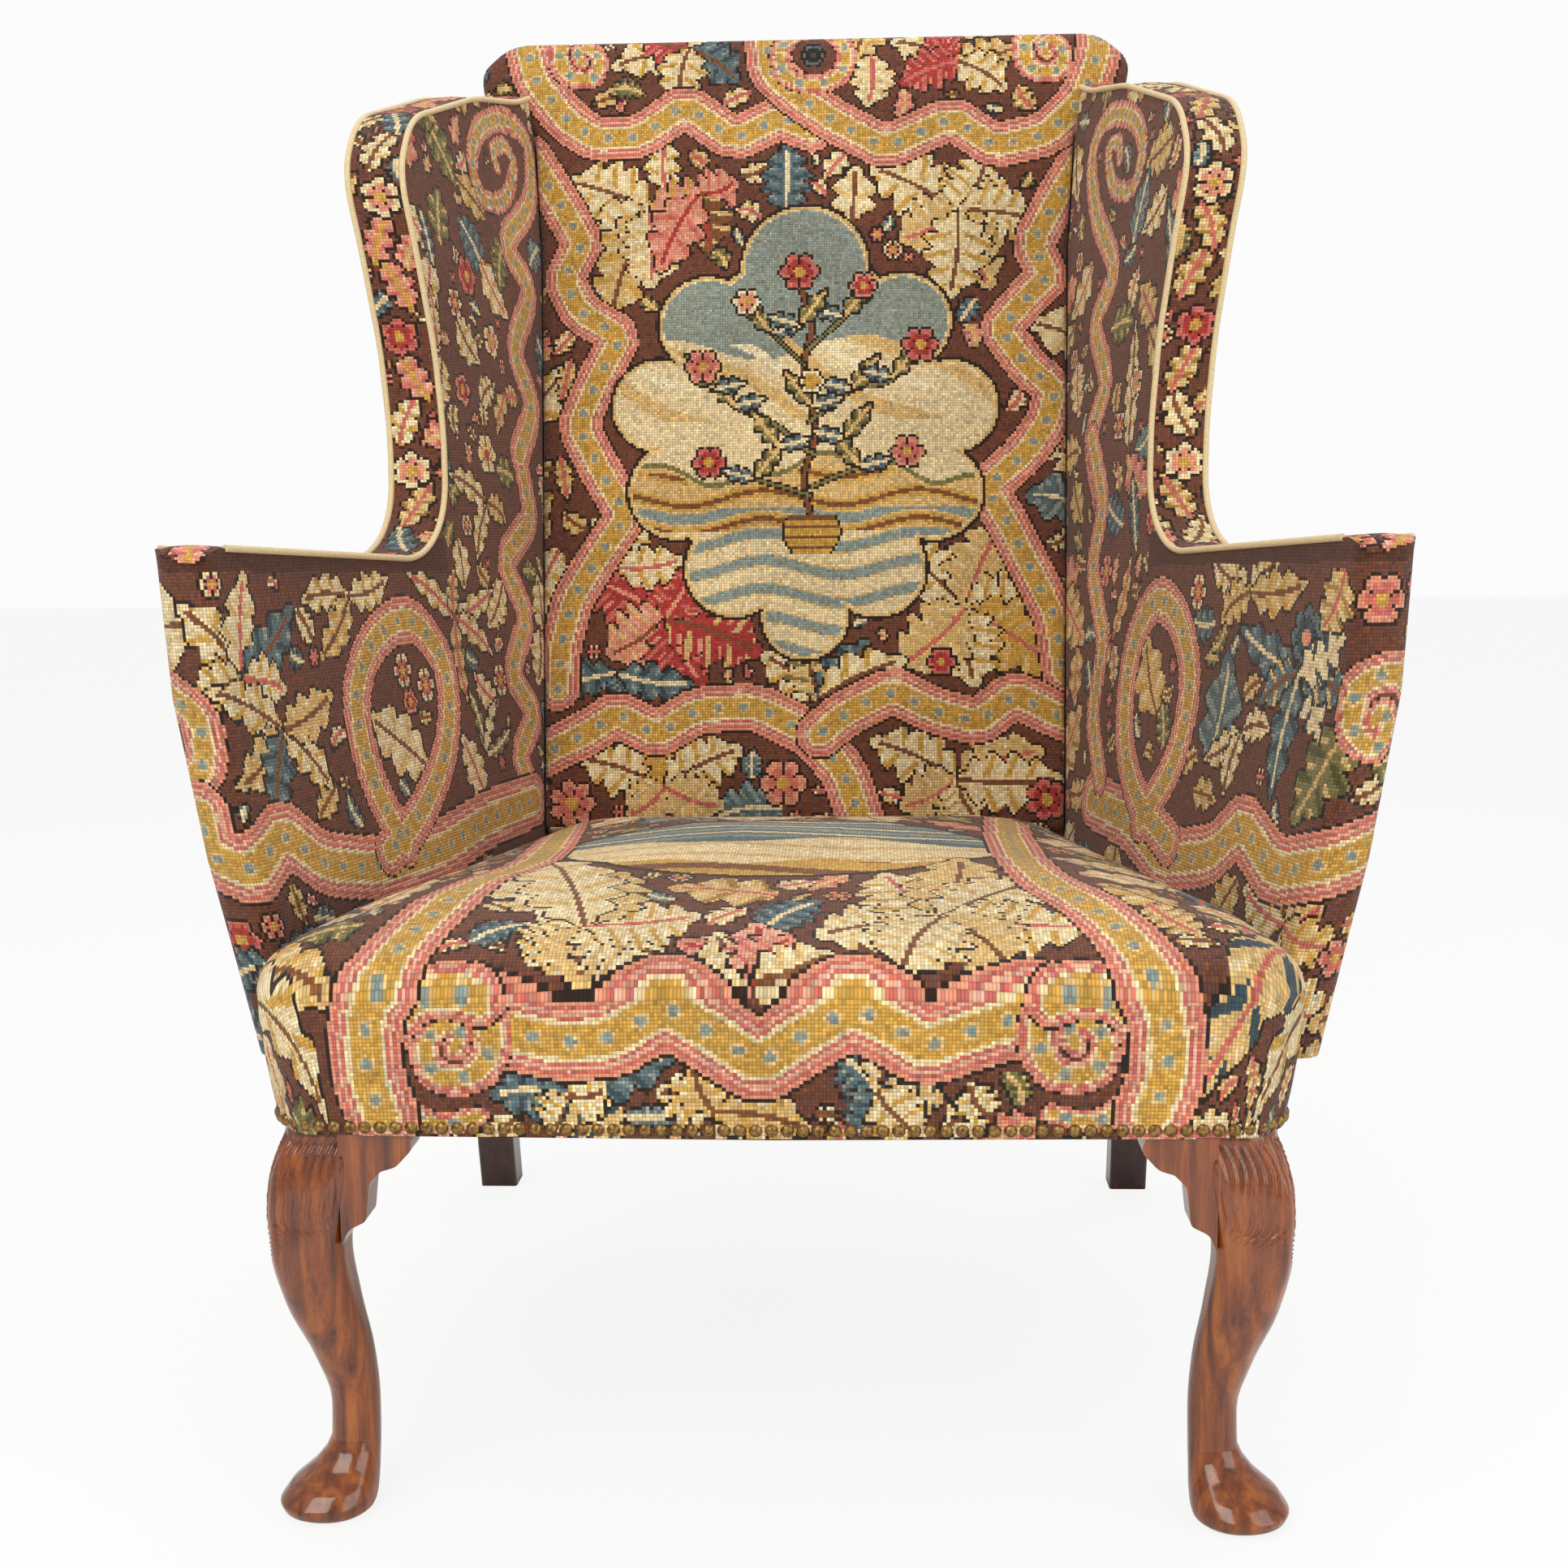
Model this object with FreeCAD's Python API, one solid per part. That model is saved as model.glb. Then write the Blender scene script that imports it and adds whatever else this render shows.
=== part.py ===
"""Wingback armchair with a tight seat, tall raked back, flared arms and carved front legs.

Millimetres, +Z up, floor at z = 0. The chair faces -Y and is symmetric about x = 0.
While it is built, y = 0 is the front face line of the seat frame; the origin is moved to
the middle of the footprint at the end.
"""
import FreeCAD, Part
import math
import os

V = FreeCAD.Vector
os.makedirs("parts", exist_ok=True)

# %% Sizes of the whole
seat_rail_bottom = 270.0
seat_edge_height = 370.0
crest_height = 1123.0
back_foot_y = 571.0
back_foot_z = 394.0
back_rake_deg = 13.2

# Plan of the inner faces of the two side panels, one row for each height:
# height, half width where the panel meets the back, distance of that corner from the
# front, and how far the panel opens outward for each millimetre it comes forward.
rail_half_width = 238.0
seat_half_width = 240.0
arm_half_width = 245.0
wing_half_width = 250.0
wing_top_half_width = 266.0
rail_flare = 0.221
seat_flare = 0.259
bulge_low_flare = 0.276
bulge_high_flare = 0.286
arm_flare = 0.272
wing_flare = 0.264
bulge_low_height = 430.0
bulge_high_height = 545.0
arm_line_height = 640.0
wing_line_height = 910.0

# %% Sizes of the side panels, in side view
panel_thickness = 44.0
panel_crown = 5.0
arm_nose_radius = 15.0
arm_foot_y = 128.0
arm_foot_z = 287.0
arm_front_y = 100.0
arm_front_z = 651.0
arm_rear_z = 634.0
arm_corner_radius = 25.0
wing_root_y = 432.0
wing_root_radius = 92.0
wing_waist_y = 455.0
wing_waist_z = 775.0
wing_brow_y = 424.0
wing_brow_z = 950.0
wing_shoulder_y = 462.0
wing_shoulder_z = 1001.0
wing_crest_y = 595.0
wing_crest_z = 1043.0
wing_rise_y = 690.0
wing_rise_z = 1058.0
wing_end_z = 1075.0
panel_rear_bottom_z = 268.0

# %% Sizes of the covers, cords and nails
cover_thickness = 2.0
soft_gap = 0.3
piping_radius = 2.5
piping_seam = 0.7
nail_radius = 4.3
nail_height = 2.6
nail_pitch = 10.2
nail_rise = 6.0

# %% Sizes of the back
ear_half_width = 311.0
ear_bottom_z = 1072.0
ear_radius = 30.0
back_crown = 12.0
back_depth = 58.0
back_pad_depth = 20.0
back_side_gap = 1.0

# %% Sizes of the seat
seat_front_y = -10.0
seat_front_bow = 8.0
seat_front_half_width = 349.0
seat_front_corner = 52.0
seat_rear_y = 567.0
seat_crown = 54.0
seat_tuck = 6.0
seat_side_tuck = 12.0

# %% Sizes of the wooden frame
rail_thickness = 30.0
rail_top = 350.0
rail_setback = 10.5
side_rail_setback = 16.5
post_depth = 32.0
post_width = 35.0
post_side_gap = 3.0
frame_thickness = 25.0
frame_skin = 13.0
frame_edge = 5.0
frame_width = 38.0
stay_rail_height = 42.0
block_leg = 60.0
block_height = 40.0
screw_radius = 2.5
screw_length = 34.0

# %% Sizes of the legs
leg_diagonal = 336.0
rear_foot_x = 316.0
rear_foot_y = 705.0
rear_foot_size = 36.0

# %% Sizes of the inner upholstery
web_width = 50.0
web_thickness = 1.4
seat_web_long = 5
seat_web_cross = 4
back_web_long = 3
back_web_cross = 5
hessian_thickness = 1.5
spring_rows = 3
spring_wire = 1.7
spring_radius = 32.0
spring_waist = 22.0
spring_turns = 5
cambric_thickness = 1.2

rake = math.radians(back_rake_deg)
rake_slope = math.tan(rake)


# %% Outlines made of straight lines and tangent arcs
def inset_points(points, amount):
    """Move each edge of a closed outline inward; amount is one value or one per edge."""
    count = len(points)
    amounts = amount if isinstance(amount, (list, tuple)) else [amount] * count
    area = 0.0
    for k in range(count):
        a = points[k]
        b = points[(k + 1) % count]
        area += a[0] * b[1] - b[0] * a[1]
    turn = 1.0 if area > 0 else -1.0
    lines = []
    for k in range(count):
        a = points[k]
        b = points[(k + 1) % count]
        dx = b[0] - a[0]
        dy = b[1] - a[1]
        length = math.hypot(dx, dy)
        nx = -dy / length * turn
        ny = dx / length * turn
        px = a[0] + nx * amounts[k]
        py = a[1] + ny * amounts[k]
        lines.append((px, py, dx, dy))
    moved = []
    for k in range(count):
        p = lines[k - 1]
        q = lines[k]
        cross = p[2] * q[3] - p[3] * q[2]
        t = ((q[0] - p[0]) * q[3] - (q[1] - p[1]) * q[2]) / cross
        moved.append((p[0] + t * p[2], p[1] + t * p[3]))
    return moved


def corner_cuts(points, radii):
    """Tangent length and radius at each corner, limited by the two edges beside it."""
    count = len(points)
    cuts = []
    for k in range(count):
        a = points[k - 1]
        p = points[k]
        b = points[(k + 1) % count]
        into = math.atan2(p[1] - a[1], p[0] - a[0])
        out = math.atan2(b[1] - p[1], b[0] - p[0])
        turn = abs((out - into + math.pi) % (2 * math.pi) - math.pi)
        shorter = min(math.dist(a, p), math.dist(p, b))
        if radii[k] <= 0:
            cuts.append(0.0)
        else:
            cuts.append(min(radii[k] * math.tan(turn / 2), 0.49 * shorter))
    return cuts


def outline_wire(points, radii, place):
    """Closed wire through a rounded outline; place turns (u, v) into a point in space."""
    count = len(points)
    cuts = corner_cuts(points, radii)
    ends = []
    for k in range(count):
        a = points[k - 1]
        p = points[k]
        b = points[(k + 1) % count]
        la = math.dist(a, p)
        lb = math.dist(p, b)
        c = cuts[k]
        first = (p[0] + (a[0] - p[0]) * c / la, p[1] + (a[1] - p[1]) * c / la)
        last = (p[0] + (b[0] - p[0]) * c / lb, p[1] + (b[1] - p[1]) * c / lb)
        ends.append((first, last))
    edges = []
    for k in range(count):
        first, last = ends[k]
        if cuts[k] > 0:
            mid_u = (first[0] + last[0]) / 2
            mid_v = (first[1] + last[1]) / 2
            half = math.dist(first, last) / 2
            reach = math.dist((mid_u, mid_v), points[k])
            sag = half * math.tan(math.atan2(half, reach) / 1.0)
            into = math.atan2(half, reach)
            sag = half * math.tan((math.pi / 2 - into) / 2)
            tip_u = mid_u + (points[k][0] - mid_u) * sag / reach
            tip_v = mid_v + (points[k][1] - mid_v) * sag / reach
            edges.append(Part.Arc(place(*first), place(tip_u, tip_v), place(*last)).toShape())
        following = ends[(k + 1) % count][0]
        edges.append(Part.makeLine(place(*last), place(*following)))
    return Part.Wire(edges)


def refined_corners(points, radii, step_deg):
    """Control points whose small tangent arcs follow the rounded outline of an open run."""
    closed_cuts = corner_cuts(points, radii)
    run = [points[0]]
    for k in range(1, len(points) - 1):
        a = points[k - 1]
        p = points[k]
        b = points[k + 1]
        c = closed_cuts[k]
        into = math.atan2(p[1] - a[1], p[0] - a[0])
        out = math.atan2(b[1] - p[1], b[0] - p[0])
        turn = (out - into + math.pi) % (2 * math.pi) - math.pi
        if c <= 0 or abs(turn) < 1e-6:
            run.append(p)
            continue
        radius = c / math.tan(abs(turn) / 2)
        parts = max(1, math.ceil(abs(turn) / math.radians(step_deg)))
        small = turn / parts
        half_run = radius * math.tan(abs(small) / 2)
        x = p[0] - c * math.cos(into)
        y = p[1] - c * math.sin(into)
        heading = into
        for _ in range(parts):
            x += half_run * math.cos(heading)
            y += half_run * math.sin(heading)
            run.append((x, y))
            heading += small
            x += half_run * math.cos(heading)
            y += half_run * math.sin(heading)
    run.append(points[-1])
    return run


def prism(points, radii, place, along):
    wire = outline_wire(points, radii, place)
    return Part.Face(wire).extrude(along)


def box(x0, y0, z0, x1, y1, z1):
    return Part.makeBox(x1 - x0, y1 - y0, z1 - z0, V(x0, y0, z0))


def mirrored(shape):
    return shape.mirror(V(0, 0, 0), V(1, 0, 0))


def tube(points, radius):
    """Round cord along straight runs joined by tangent arcs."""
    edges = []
    start = points[0]
    for k in range(1, len(points) - 1):
        a = points[k - 1]
        p = points[k]
        b = points[k + 1]
        u = (a - p)
        w = (b - p)
        la = u.Length
        lb = w.Length
        u.normalize()
        w.normalize()
        cut = 0.45 * min(la, lb)
        first = p + u * cut
        last = p + w * cut
        middle = (first + last) * 0.5
        half = (last - first).Length / 2
        reach = (p - middle).Length
        into = math.atan2(half, reach)
        sag = half * math.tan((math.pi / 2 - into) / 2)
        tip = middle + (p - middle) * (sag / reach)
        edges.append(Part.makeLine(start, first))
        edges.append(Part.Arc(first, tip, last).toShape())
        start = last
    edges.append(Part.makeLine(start, points[-1]))
    path = Part.Wire(edges)
    heading = points[1] - points[0]
    section = Part.Wire([Part.makeCircle(radius, points[0], heading)])
    return path.makePipeShell([section], True, False)


# %% Heights, planes and frames that many pieces share
def blend(table, z):
    """Straight interpolation in rows that start with a height."""
    if z <= table[0][0]:
        low, high = table[0], table[1]
    elif z >= table[-1][0]:
        low, high = table[-2], table[-1]
    else:
        k = 1
        while table[k][0] < z:
            k += 1
        low, high = table[k - 1], table[k]
    t = (z - low[0]) / (high[0] - low[0])
    return [low[i] + (high[i] - low[i]) * t for i in range(1, len(low))]


def back_y(z):
    """Front plane of the back at height z."""
    return back_foot_y + (z - back_foot_z) * rake_slope


def back_place(u, v, w=0.0):
    """Point of the back: across, up the rake, and deeper behind its front plane."""
    return V(u,
             back_foot_y + v * math.sin(rake) + w * math.cos(rake),
             back_foot_z + v * math.cos(rake) - w * math.sin(rake))


def up_back(z):
    """Distance up the raked front plane that reaches height z."""
    return (z - back_foot_z) / math.cos(rake)


panel_plan = [
    (seat_rail_bottom, rail_half_width, back_foot_y, rail_flare),
    (seat_edge_height, seat_half_width, back_foot_y, seat_flare),
    (bulge_low_height, seat_half_width + 1.5, back_y(bulge_low_height), bulge_low_flare),
    (bulge_high_height, arm_half_width - 2.0, back_y(bulge_high_height), bulge_high_flare),
    (arm_line_height, arm_half_width, back_y(arm_line_height), arm_flare),
    (wing_line_height, wing_half_width, back_y(wing_line_height), wing_flare),
    (crest_height, wing_top_half_width, back_y(crest_height), wing_flare),
]
rear_reach = 110.0


def arm_front_line(z):
    """Front edge of the arm in side view."""
    t = (z - arm_foot_z) / (arm_front_z - arm_foot_z)
    return arm_foot_y + (arm_front_y - arm_foot_y) * t


# %% Side panels: a slab that opens forward, cut by its side view
def panel_section(z, near, far, trim):
    """Plan of the panel at one height, from depth near to depth far under its inner face."""
    half, corner_y, flare = blend(panel_plan, z)
    run = math.hypot(1.0, flare)
    ahead = V(flare / run, -1.0 / run, 0)
    outward = V(1.0 / run, flare / run, 0)
    corner = V(half, corner_y, z)
    reach = (corner_y - arm_front_line(z)) * run - trim
    radius = arm_nose_radius - trim
    inner_joint = corner + outward * near
    outer_joint = corner + outward * far
    inner_end = inner_joint + ahead * (reach - radius)
    outer_end = outer_joint + ahead * (reach - radius)
    inner_tip = inner_joint + ahead * reach + outward * radius
    outer_tip = outer_joint + ahead * reach - outward * radius
    corner_reach = radius * (1 - math.sqrt(0.5))
    inner_bend = inner_joint + ahead * (reach - corner_reach) + outward * corner_reach
    outer_bend = outer_joint + ahead * (reach - corner_reach) - outward * corner_reach
    crown = outward * (-panel_crown)
    inner_mid = (inner_joint + inner_end) * 0.5 + crown
    outer_mid = (outer_joint + outer_end) * 0.5 + crown
    rear = V(0, corner_y + rear_reach, 0)
    inner_rear = V(inner_joint.x, rear.y, z)
    outer_rear = V(outer_joint.x, rear.y, z)
    return Part.Wire([
        Part.makeLine(inner_rear, inner_joint),
        Part.Arc(inner_joint, inner_mid, inner_end).toShape(),
        Part.Arc(inner_end, inner_bend, inner_tip).toShape(),
        Part.makeLine(inner_tip, outer_tip),
        Part.Arc(outer_tip, outer_bend, outer_end).toShape(),
        Part.Arc(outer_end, outer_mid, outer_joint).toShape(),
        Part.makeLine(outer_joint, outer_rear),
        Part.makeLine(outer_rear, inner_rear),
    ])


def panel_slab(near, far, trim):
    heights = [seat_rail_bottom - 2.0] + [row[0] for row in panel_plan[1:]]
    wires = [panel_section(z, near, far, trim) for z in heights]
    return Part.makeLoft(wires, True, True)


def panel_point(depth, y, z):
    """Point at a depth under the inner face of the right panel, at a given y and z."""
    half, corner_y, flare = blend(panel_plan, z)
    run = math.hypot(1.0, flare)
    total = (corner_y - arm_front_line(z)) * run - arm_nose_radius
    s = (corner_y + depth * flare / run - y) * run
    share = max(0.0, min(1.0, s / total))
    crown = panel_crown * 4 * share * (1 - share)
    depth_now = depth - crown
    s = (corner_y + depth_now * flare / run - y) * run
    return V(half + depth_now / run + s * flare / run, y, z)


front_ease = 4.0
panel_rear_y = back_y(crest_height) + 90.0
side_points = [
    (arm_foot_y - front_ease, arm_foot_z),
    (arm_front_y - front_ease, arm_front_z),
    (wing_root_y, arm_rear_z),
    (wing_waist_y, wing_waist_z),
    (wing_brow_y, wing_brow_z),
    (wing_shoulder_y, wing_shoulder_z),
    (wing_crest_y, wing_crest_z),
    (wing_rise_y, wing_rise_z),
    (panel_rear_y, wing_end_z + (panel_rear_y - wing_rise_y) * 0.2),
    (panel_rear_y, panel_rear_bottom_z),
]
side_radii = [0, arm_corner_radius, wing_root_radius, 420, 62, 80, 160, 60, 0, 0]
bound_edges = [0, 1, 1, 1, 1, 1, 1, 1, 0, 0]


def side_prism(inset):
    """Side view of the panel, drawn in by inset along its bound top and front edges."""
    points = inset_points(side_points, [inset * k for k in bound_edges])
    radii = list(side_radii)
    for k in (1, 4, 5):
        radii[k] = side_radii[k] - inset
    for k in (2, 6):
        radii[k] = side_radii[k] + inset
    start = rail_half_width - 60.0
    return prism(points, radii, lambda u, v: V(start, u, v), V(320, 0, 0))


def behind_back(depth):
    """All the space deeper than depth behind the front plane of the back."""
    size = 3000.0
    block = Part.makeBox(size, size, size, V(-size / 2, 0, -size / 2))
    block.rotate(V(0, 0, 0), V(1, 0, 0), -back_rake_deg)
    spot = back_place(0, 0, depth)
    block.translate(spot)
    return block


back_side_points = [
    (-seat_half_width + back_side_gap, -14.0),
    (-arm_half_width + back_side_gap, up_back(arm_line_height)),
    (-wing_half_width + back_side_gap, up_back(wing_line_height)),
    (-wing_top_half_width + 8.0, up_back(ear_bottom_z) - 34.0),
    (-ear_half_width + 4.0, up_back(ear_bottom_z)),
    (-ear_half_width, up_back(crest_height) - ear_radius * 0.9),
    (-ear_half_width + ear_radius, up_back(crest_height)),
]
back_side_radii = [8, 0, 0, 46, 14, 26, 44]
back_points = back_side_points + [(-u, v) for u, v in reversed(back_side_points)]
back_radii = back_side_radii + list(reversed(back_side_radii))
crown_half_width = 60.0
crown_low = 230.0
crown_high = 520.0


def back_section(share, depth, inset):
    """Outline of the back at one depth, moved by share toward the middle of its crown."""
    outer = inset_points(back_points, inset)
    low = back_points[0][1]
    high = up_back(crest_height)
    wire_points = []
    for u, v in outer:
        goal_u = u / ear_half_width * crown_half_width
        goal_v = crown_low + (v - low) / (high - low) * (crown_high - crown_low)
        wire_points.append((u + (goal_u - u) * share, v + (goal_v - v) * share))
    radii = [r + (40.0 - r) * share if r > 0 else 0 for r in back_radii]
    return outline_wire(wire_points, radii, lambda u, v: back_place(u, v, depth))


def back_wires(inset, rear):
    """Sections of the padded back from its rear forward; its edge is drawn in by inset."""
    steps = [(0.0, rear, 0.0), (0.0, 4.0, 0.0), (0.0, 0.5, 0.9), (0.004, -2.0, 2.4),
             (0.02, -4.2, 4.5), (0.08, -6.2, 6.0), (0.2, -8.2, 6.0), (0.36, -9.8, 6.0),
             (0.56, -11.0, 6.0), (0.8, -back_crown, 6.0)]
    wires = []
    for share, depth, edge in steps:
        shift = inset if depth < rear else 0.0
        wires.append(back_section(share, depth + shift, inset + edge))
    return wires


def open_cover(outer_wires, inner_wires):
    """Closed skin between two nested lofts that share the plane of their first section."""
    outer_side = Part.makeLoft(outer_wires, False, True)
    inner_side = Part.makeLoft(inner_wires, False, True)
    rim_face = Part.Face([outer_wires[0], inner_wires[0]])
    faces = outer_side.Faces + inner_side.Faces
    faces += [Part.Face(outer_wires[-1]), Part.Face(inner_wires[-1]), rim_face]
    shell = Part.Shell(faces)
    shell.sewShape()
    solid = Part.Solid(shell)
    solid.fix(1e-3, 1e-3, 1e-3)
    return solid


# %% Seat: a crowned block with a bowed front and rounded front corners
seat_full_z = 356.0
seat_side_gap = 8.0
seat_side_points = []
for side_y, crown in ((seat_rear_y, 0.0), ((seat_rear_y + arm_foot_y) / 2, panel_crown),
                      (arm_foot_y + 10.0, 1.0)):
    half, corner_y, flare = blend(panel_plan, seat_full_z)
    seat_side_points.append((-(half + (corner_y - side_y) * flare - crown - seat_side_gap), side_y))
seat_side_points.append((-seat_front_half_width, seat_front_y + seat_front_bow))
seat_points = seat_side_points + [(0.0, seat_front_y)]
seat_points += [(-u, v) for u, v in reversed(seat_side_points)]
seat_radii = [6, 2500, 900, seat_front_corner, 9000, seat_front_corner, 900, 2500, 6]
seat_middle_y = 300.0
seat_crown_share = 0.75


def seat_insets(front, side):
    """Insets of the nine edges: sides, front, sides and rear."""
    return [side] * 3 + [front] * 2 + [side] * 3 + [front]


def seat_section(share, z, inset, side_inset):
    outer = inset_points(seat_points, seat_insets(inset, side_inset))
    wire_points = []
    for u, v in outer:
        goal_u = u * (1 - seat_crown_share)
        goal_v = seat_middle_y + (v - seat_middle_y) * (1 - seat_crown_share)
        wire_points.append((u + (goal_u - u) * share, v + (goal_v - v) * share))
    radii = [r - inset if r < 100 else r for r in seat_radii]
    radii = [max(r, 3.0) for r in radii]
    return outline_wire(wire_points, radii, lambda u, v: V(u, v, z))


def seat_wires(inset, bottom):
    """Sections of the crowned seat from its lower edge up, fullest at two thirds up."""
    edge = seat_edge_height
    steps = [(0.0, bottom, seat_tuck), (0.0, bottom + 12.0, seat_tuck * 0.8),
             (0.0, edge - 76.0, seat_tuck * 0.6), (0.0, edge - 52.0, seat_tuck * 0.27),
             (0.0, edge - 28.0, 0.3),
             (0.0, edge - 10.0, 0.2), (0.0, edge, 2.2), (0.0, edge + 7.0, 6.4),
             (0.002, edge + 13.0, 12.0), (0.01, edge + 18.0, 18.5), (0.035, edge + 23.0, 24.0),
             (0.09, edge + 28.5, 28.0), (0.18, edge + 34.0, 30.0), (0.32, edge + 40.0, 30.0),
             (0.5, edge + 45.0, 30.0), (0.72, edge + 48.6, 30.0), (0.95, edge + seat_crown, 30.0)]
    wires = []
    for share, z, draw in steps:
        height = z if z <= edge - 52.0 else z - inset
        side_draw = draw * seat_side_tuck / seat_tuck if z <= edge - 52.0 else draw
        wires.append(seat_section(share, height, inset + draw, inset + side_draw))
    return wires


# %% Front legs: cabriole, square at the seat, round at the ankle, on a pad foot
leg_stations = [
    # height, centre across, half width, corner radius and outer corner radius as shares
    # of the half width
    (rail_top, 300.5, 26.0, 0.25, 0.96),
    (seat_rail_bottom, 300.5, 26.0, 0.25, 0.96),
    (256.0, 304.0, 27.5, 0.30, 0.85),
    (240.0, 307.5, 28.0, 0.42, 0.70),
    (217.0, 310.5, 27.0, 0.55, 0.62),
    (190.0, 311.5, 25.0, 0.62, 0.66),
    (149.0, 306.0, 23.5, 0.75, 0.75),
    (107.0, 296.0, 19.5, 0.88, 0.88),
    (72.0, 291.0, 16.2, 0.94, 0.94),
    (47.0, 291.5, 16.4, 0.94, 0.94),
    (30.0, 297.0, 22.0, 0.94, 0.94),
    (19.0, 304.0, 29.5, 0.94, 0.94),
    (10.0, 307.5, 32.5, 0.94, 0.94),
    (4.0, 307.0, 30.5, 0.94, 0.94),
    (0.0, 306.0, 25.0, 0.94, 0.94),
]


def square_section(cx, cy, z, half_x, half_y, radius, outer_radius=None):
    points = [(cx - half_x, cy - half_y), (cx + half_x, cy - half_y),
              (cx + half_x, cy + half_y), (cx - half_x, cy + half_y)]
    radii = [radius, radius if outer_radius is None else outer_radius, radius, radius]
    return outline_wire(points, radii, lambda u, v: V(u, v, z))


def eased_rows(rows, step):
    """Rows at close heights between the given ones, with no overshoot between them."""
    rows = sorted(rows)
    count = len(rows)
    slopes = []
    for k in range(count - 1):
        rise = rows[k + 1][0] - rows[k][0]
        slopes.append([(b - a) / rise for a, b in zip(rows[k][1:], rows[k + 1][1:])])
    heads = [slopes[0]]
    for k in range(1, count - 1):
        mixed = []
        for before, after in zip(slopes[k - 1], slopes[k]):
            if before * after <= 0:
                mixed.append(0.0)
            else:
                mixed.append(2 * before * after / (before + after))
        heads.append(mixed)
    heads.append(slopes[-1])
    result = []
    for k in range(count - 1):
        low, high = rows[k], rows[k + 1]
        rise = high[0] - low[0]
        parts = max(1, math.ceil(rise / step))
        for i in range(parts):
            t = i / parts
            row = [low[0] + rise * t]
            for j in range(1, len(low)):
                a, b = low[j], high[j]
                da = heads[k][j - 1] * rise
                db = heads[k + 1][j - 1] * rise
                row.append(a * (2 * t ** 3 - 3 * t ** 2 + 1) + da * (t ** 3 - 2 * t ** 2 + t)
                           + b * (3 * t ** 2 - 2 * t ** 3) + db * (t ** 3 - t ** 2))
            result.append(row)
    result.append(list(rows[-1]))
    return result


def front_leg():
    wires = []
    for z, cx, half, share, outer_share in eased_rows(leg_stations, 9.0):
        wires.append(square_section(cx, leg_diagonal - cx, z, half, half,
                                    half * share, half * outer_share))
    return Part.makeLoft(wires, True, True)


bracket_thickness = 26.0
bracket_reach = 50.0
bracket_drop = 62.0


def knee_bracket():
    """Shaped ear glued under the rail, beside the knee, seen from the front."""
    top = seat_rail_bottom
    inner = leg_stations[1][1] - leg_stations[1][2] + 11.0
    points = [
        (inner, top),
        (inner - bracket_reach + 4, top),
        (inner - bracket_reach, top - 9),
        (inner - bracket_reach + 12, top - 22),
        (inner - bracket_reach * 0.56, top - 25),
        (inner - bracket_reach * 0.40, top - 33),
        (inner - bracket_reach * 0.34, top - bracket_drop + 3),
        (inner - bracket_reach * 0.10, top - bracket_drop - 3),
        (inner, top - bracket_drop - 14),
    ]
    radii = [0, 3, 8, 12, 5, 8, 5, 10, 0]
    front = leg_diagonal - leg_stations[4][1] - leg_stations[4][2] + 6.0
    shape = prism(points, radii, lambda u, v: V(u, front, v), V(0, bracket_thickness, 0))
    return shape


# %% Rear legs and back posts in one length of wood, raked below and above the seat
post_inner = post_side_gap


def post_middle(z):
    """Centre of the back post at heights above the seat rail."""
    half = blend(panel_plan, max(z, seat_edge_height))[0]
    depth = back_pad_depth + 3.4 + post_depth / 2
    y = back_y(z) + depth / math.cos(rake)
    return half + post_inner + post_width / 2, y


def rear_post():
    top_x, top_y = post_middle(crest_height)
    rail_x, rail_y = post_middle(rail_top)
    size = rear_foot_size / 2
    rows = [
        (0.0, rear_foot_x, rear_foot_y, size, size),
        (50.0, rear_foot_x - 1, rear_foot_y - 18, size, size),
        (110.0, rear_foot_x - 8, rear_foot_y - 46, size, size),
        (170.0, rear_foot_x - 24, rear_foot_y - 75, size, size),
        (220.0, rear_foot_x - 42, rear_foot_y - 97, size - 1, size - 1),
    ]
    half_x = post_width / 2
    half_y = post_depth / 2 / math.cos(rake)
    for z in (seat_rail_bottom, 300.0, rail_top, 460.0, arm_line_height, 780.0,
              wing_line_height, ear_bottom_z + 4.0):
        px, py = post_middle(z)
        rows.append((z, px, py, half_x, half_y))
    foot_rows = eased_rows(rows[:6], 16.0)
    rows = foot_rows + rows[6:]
    wires = [square_section(x, y, z, hx, hy, 3.0) for z, x, y, hx, hy in rows]
    return Part.makeLoft(wires, True, True)


# %% Build everything
nodes = {}


def keep(name, shape):
    if isinstance(shape, list):
        shape = Part.makeCompound(shape)
    nodes[name] = shape


def keep_pair(name, shape):
    keep(name + "_right", shape)
    keep(name + "_left", mirrored(shape))


def solids_of(shape, least=200.0):
    found = [s for s in shape.Solids if s.Volume > least]
    if len(found) == 1:
        return found[0]
    return Part.makeCompound(found)


# Side panels
edge_hold = piping_radius + piping_seam
back_room_front = -6.0
back_room = prism(inset_points(back_points, -0.5), back_radii,
                  lambda u, v: back_place(u, v, back_room_front),
                  back_place(0, 0, back_depth + 5.0) - back_place(0, 0, 0))
panel_cut = behind_back(back_pad_depth).fuse(
    box(-600, seat_rear_y, 0, 600, 900, rail_top + 2.0))
post_cut = behind_back(back_depth - 2.0)
full = panel_slab(0.0, panel_thickness, 0.0)
inner_slab = panel_slab(cover_thickness, panel_thickness - cover_thickness, cover_thickness)
skin = full.cut(inner_slab).common(side_prism(edge_hold))
outer_part = panel_slab(panel_thickness - cover_thickness - 0.1, panel_thickness + 30.0,
                        arm_nose_radius + 4.0)
outside = skin.common(outer_part).cut(post_cut)
inside = skin.cut(panel_slab(panel_thickness - cover_thickness - 0.3, panel_thickness + 30.0,
                             arm_nose_radius + 4.0 - soft_gap))
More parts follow.
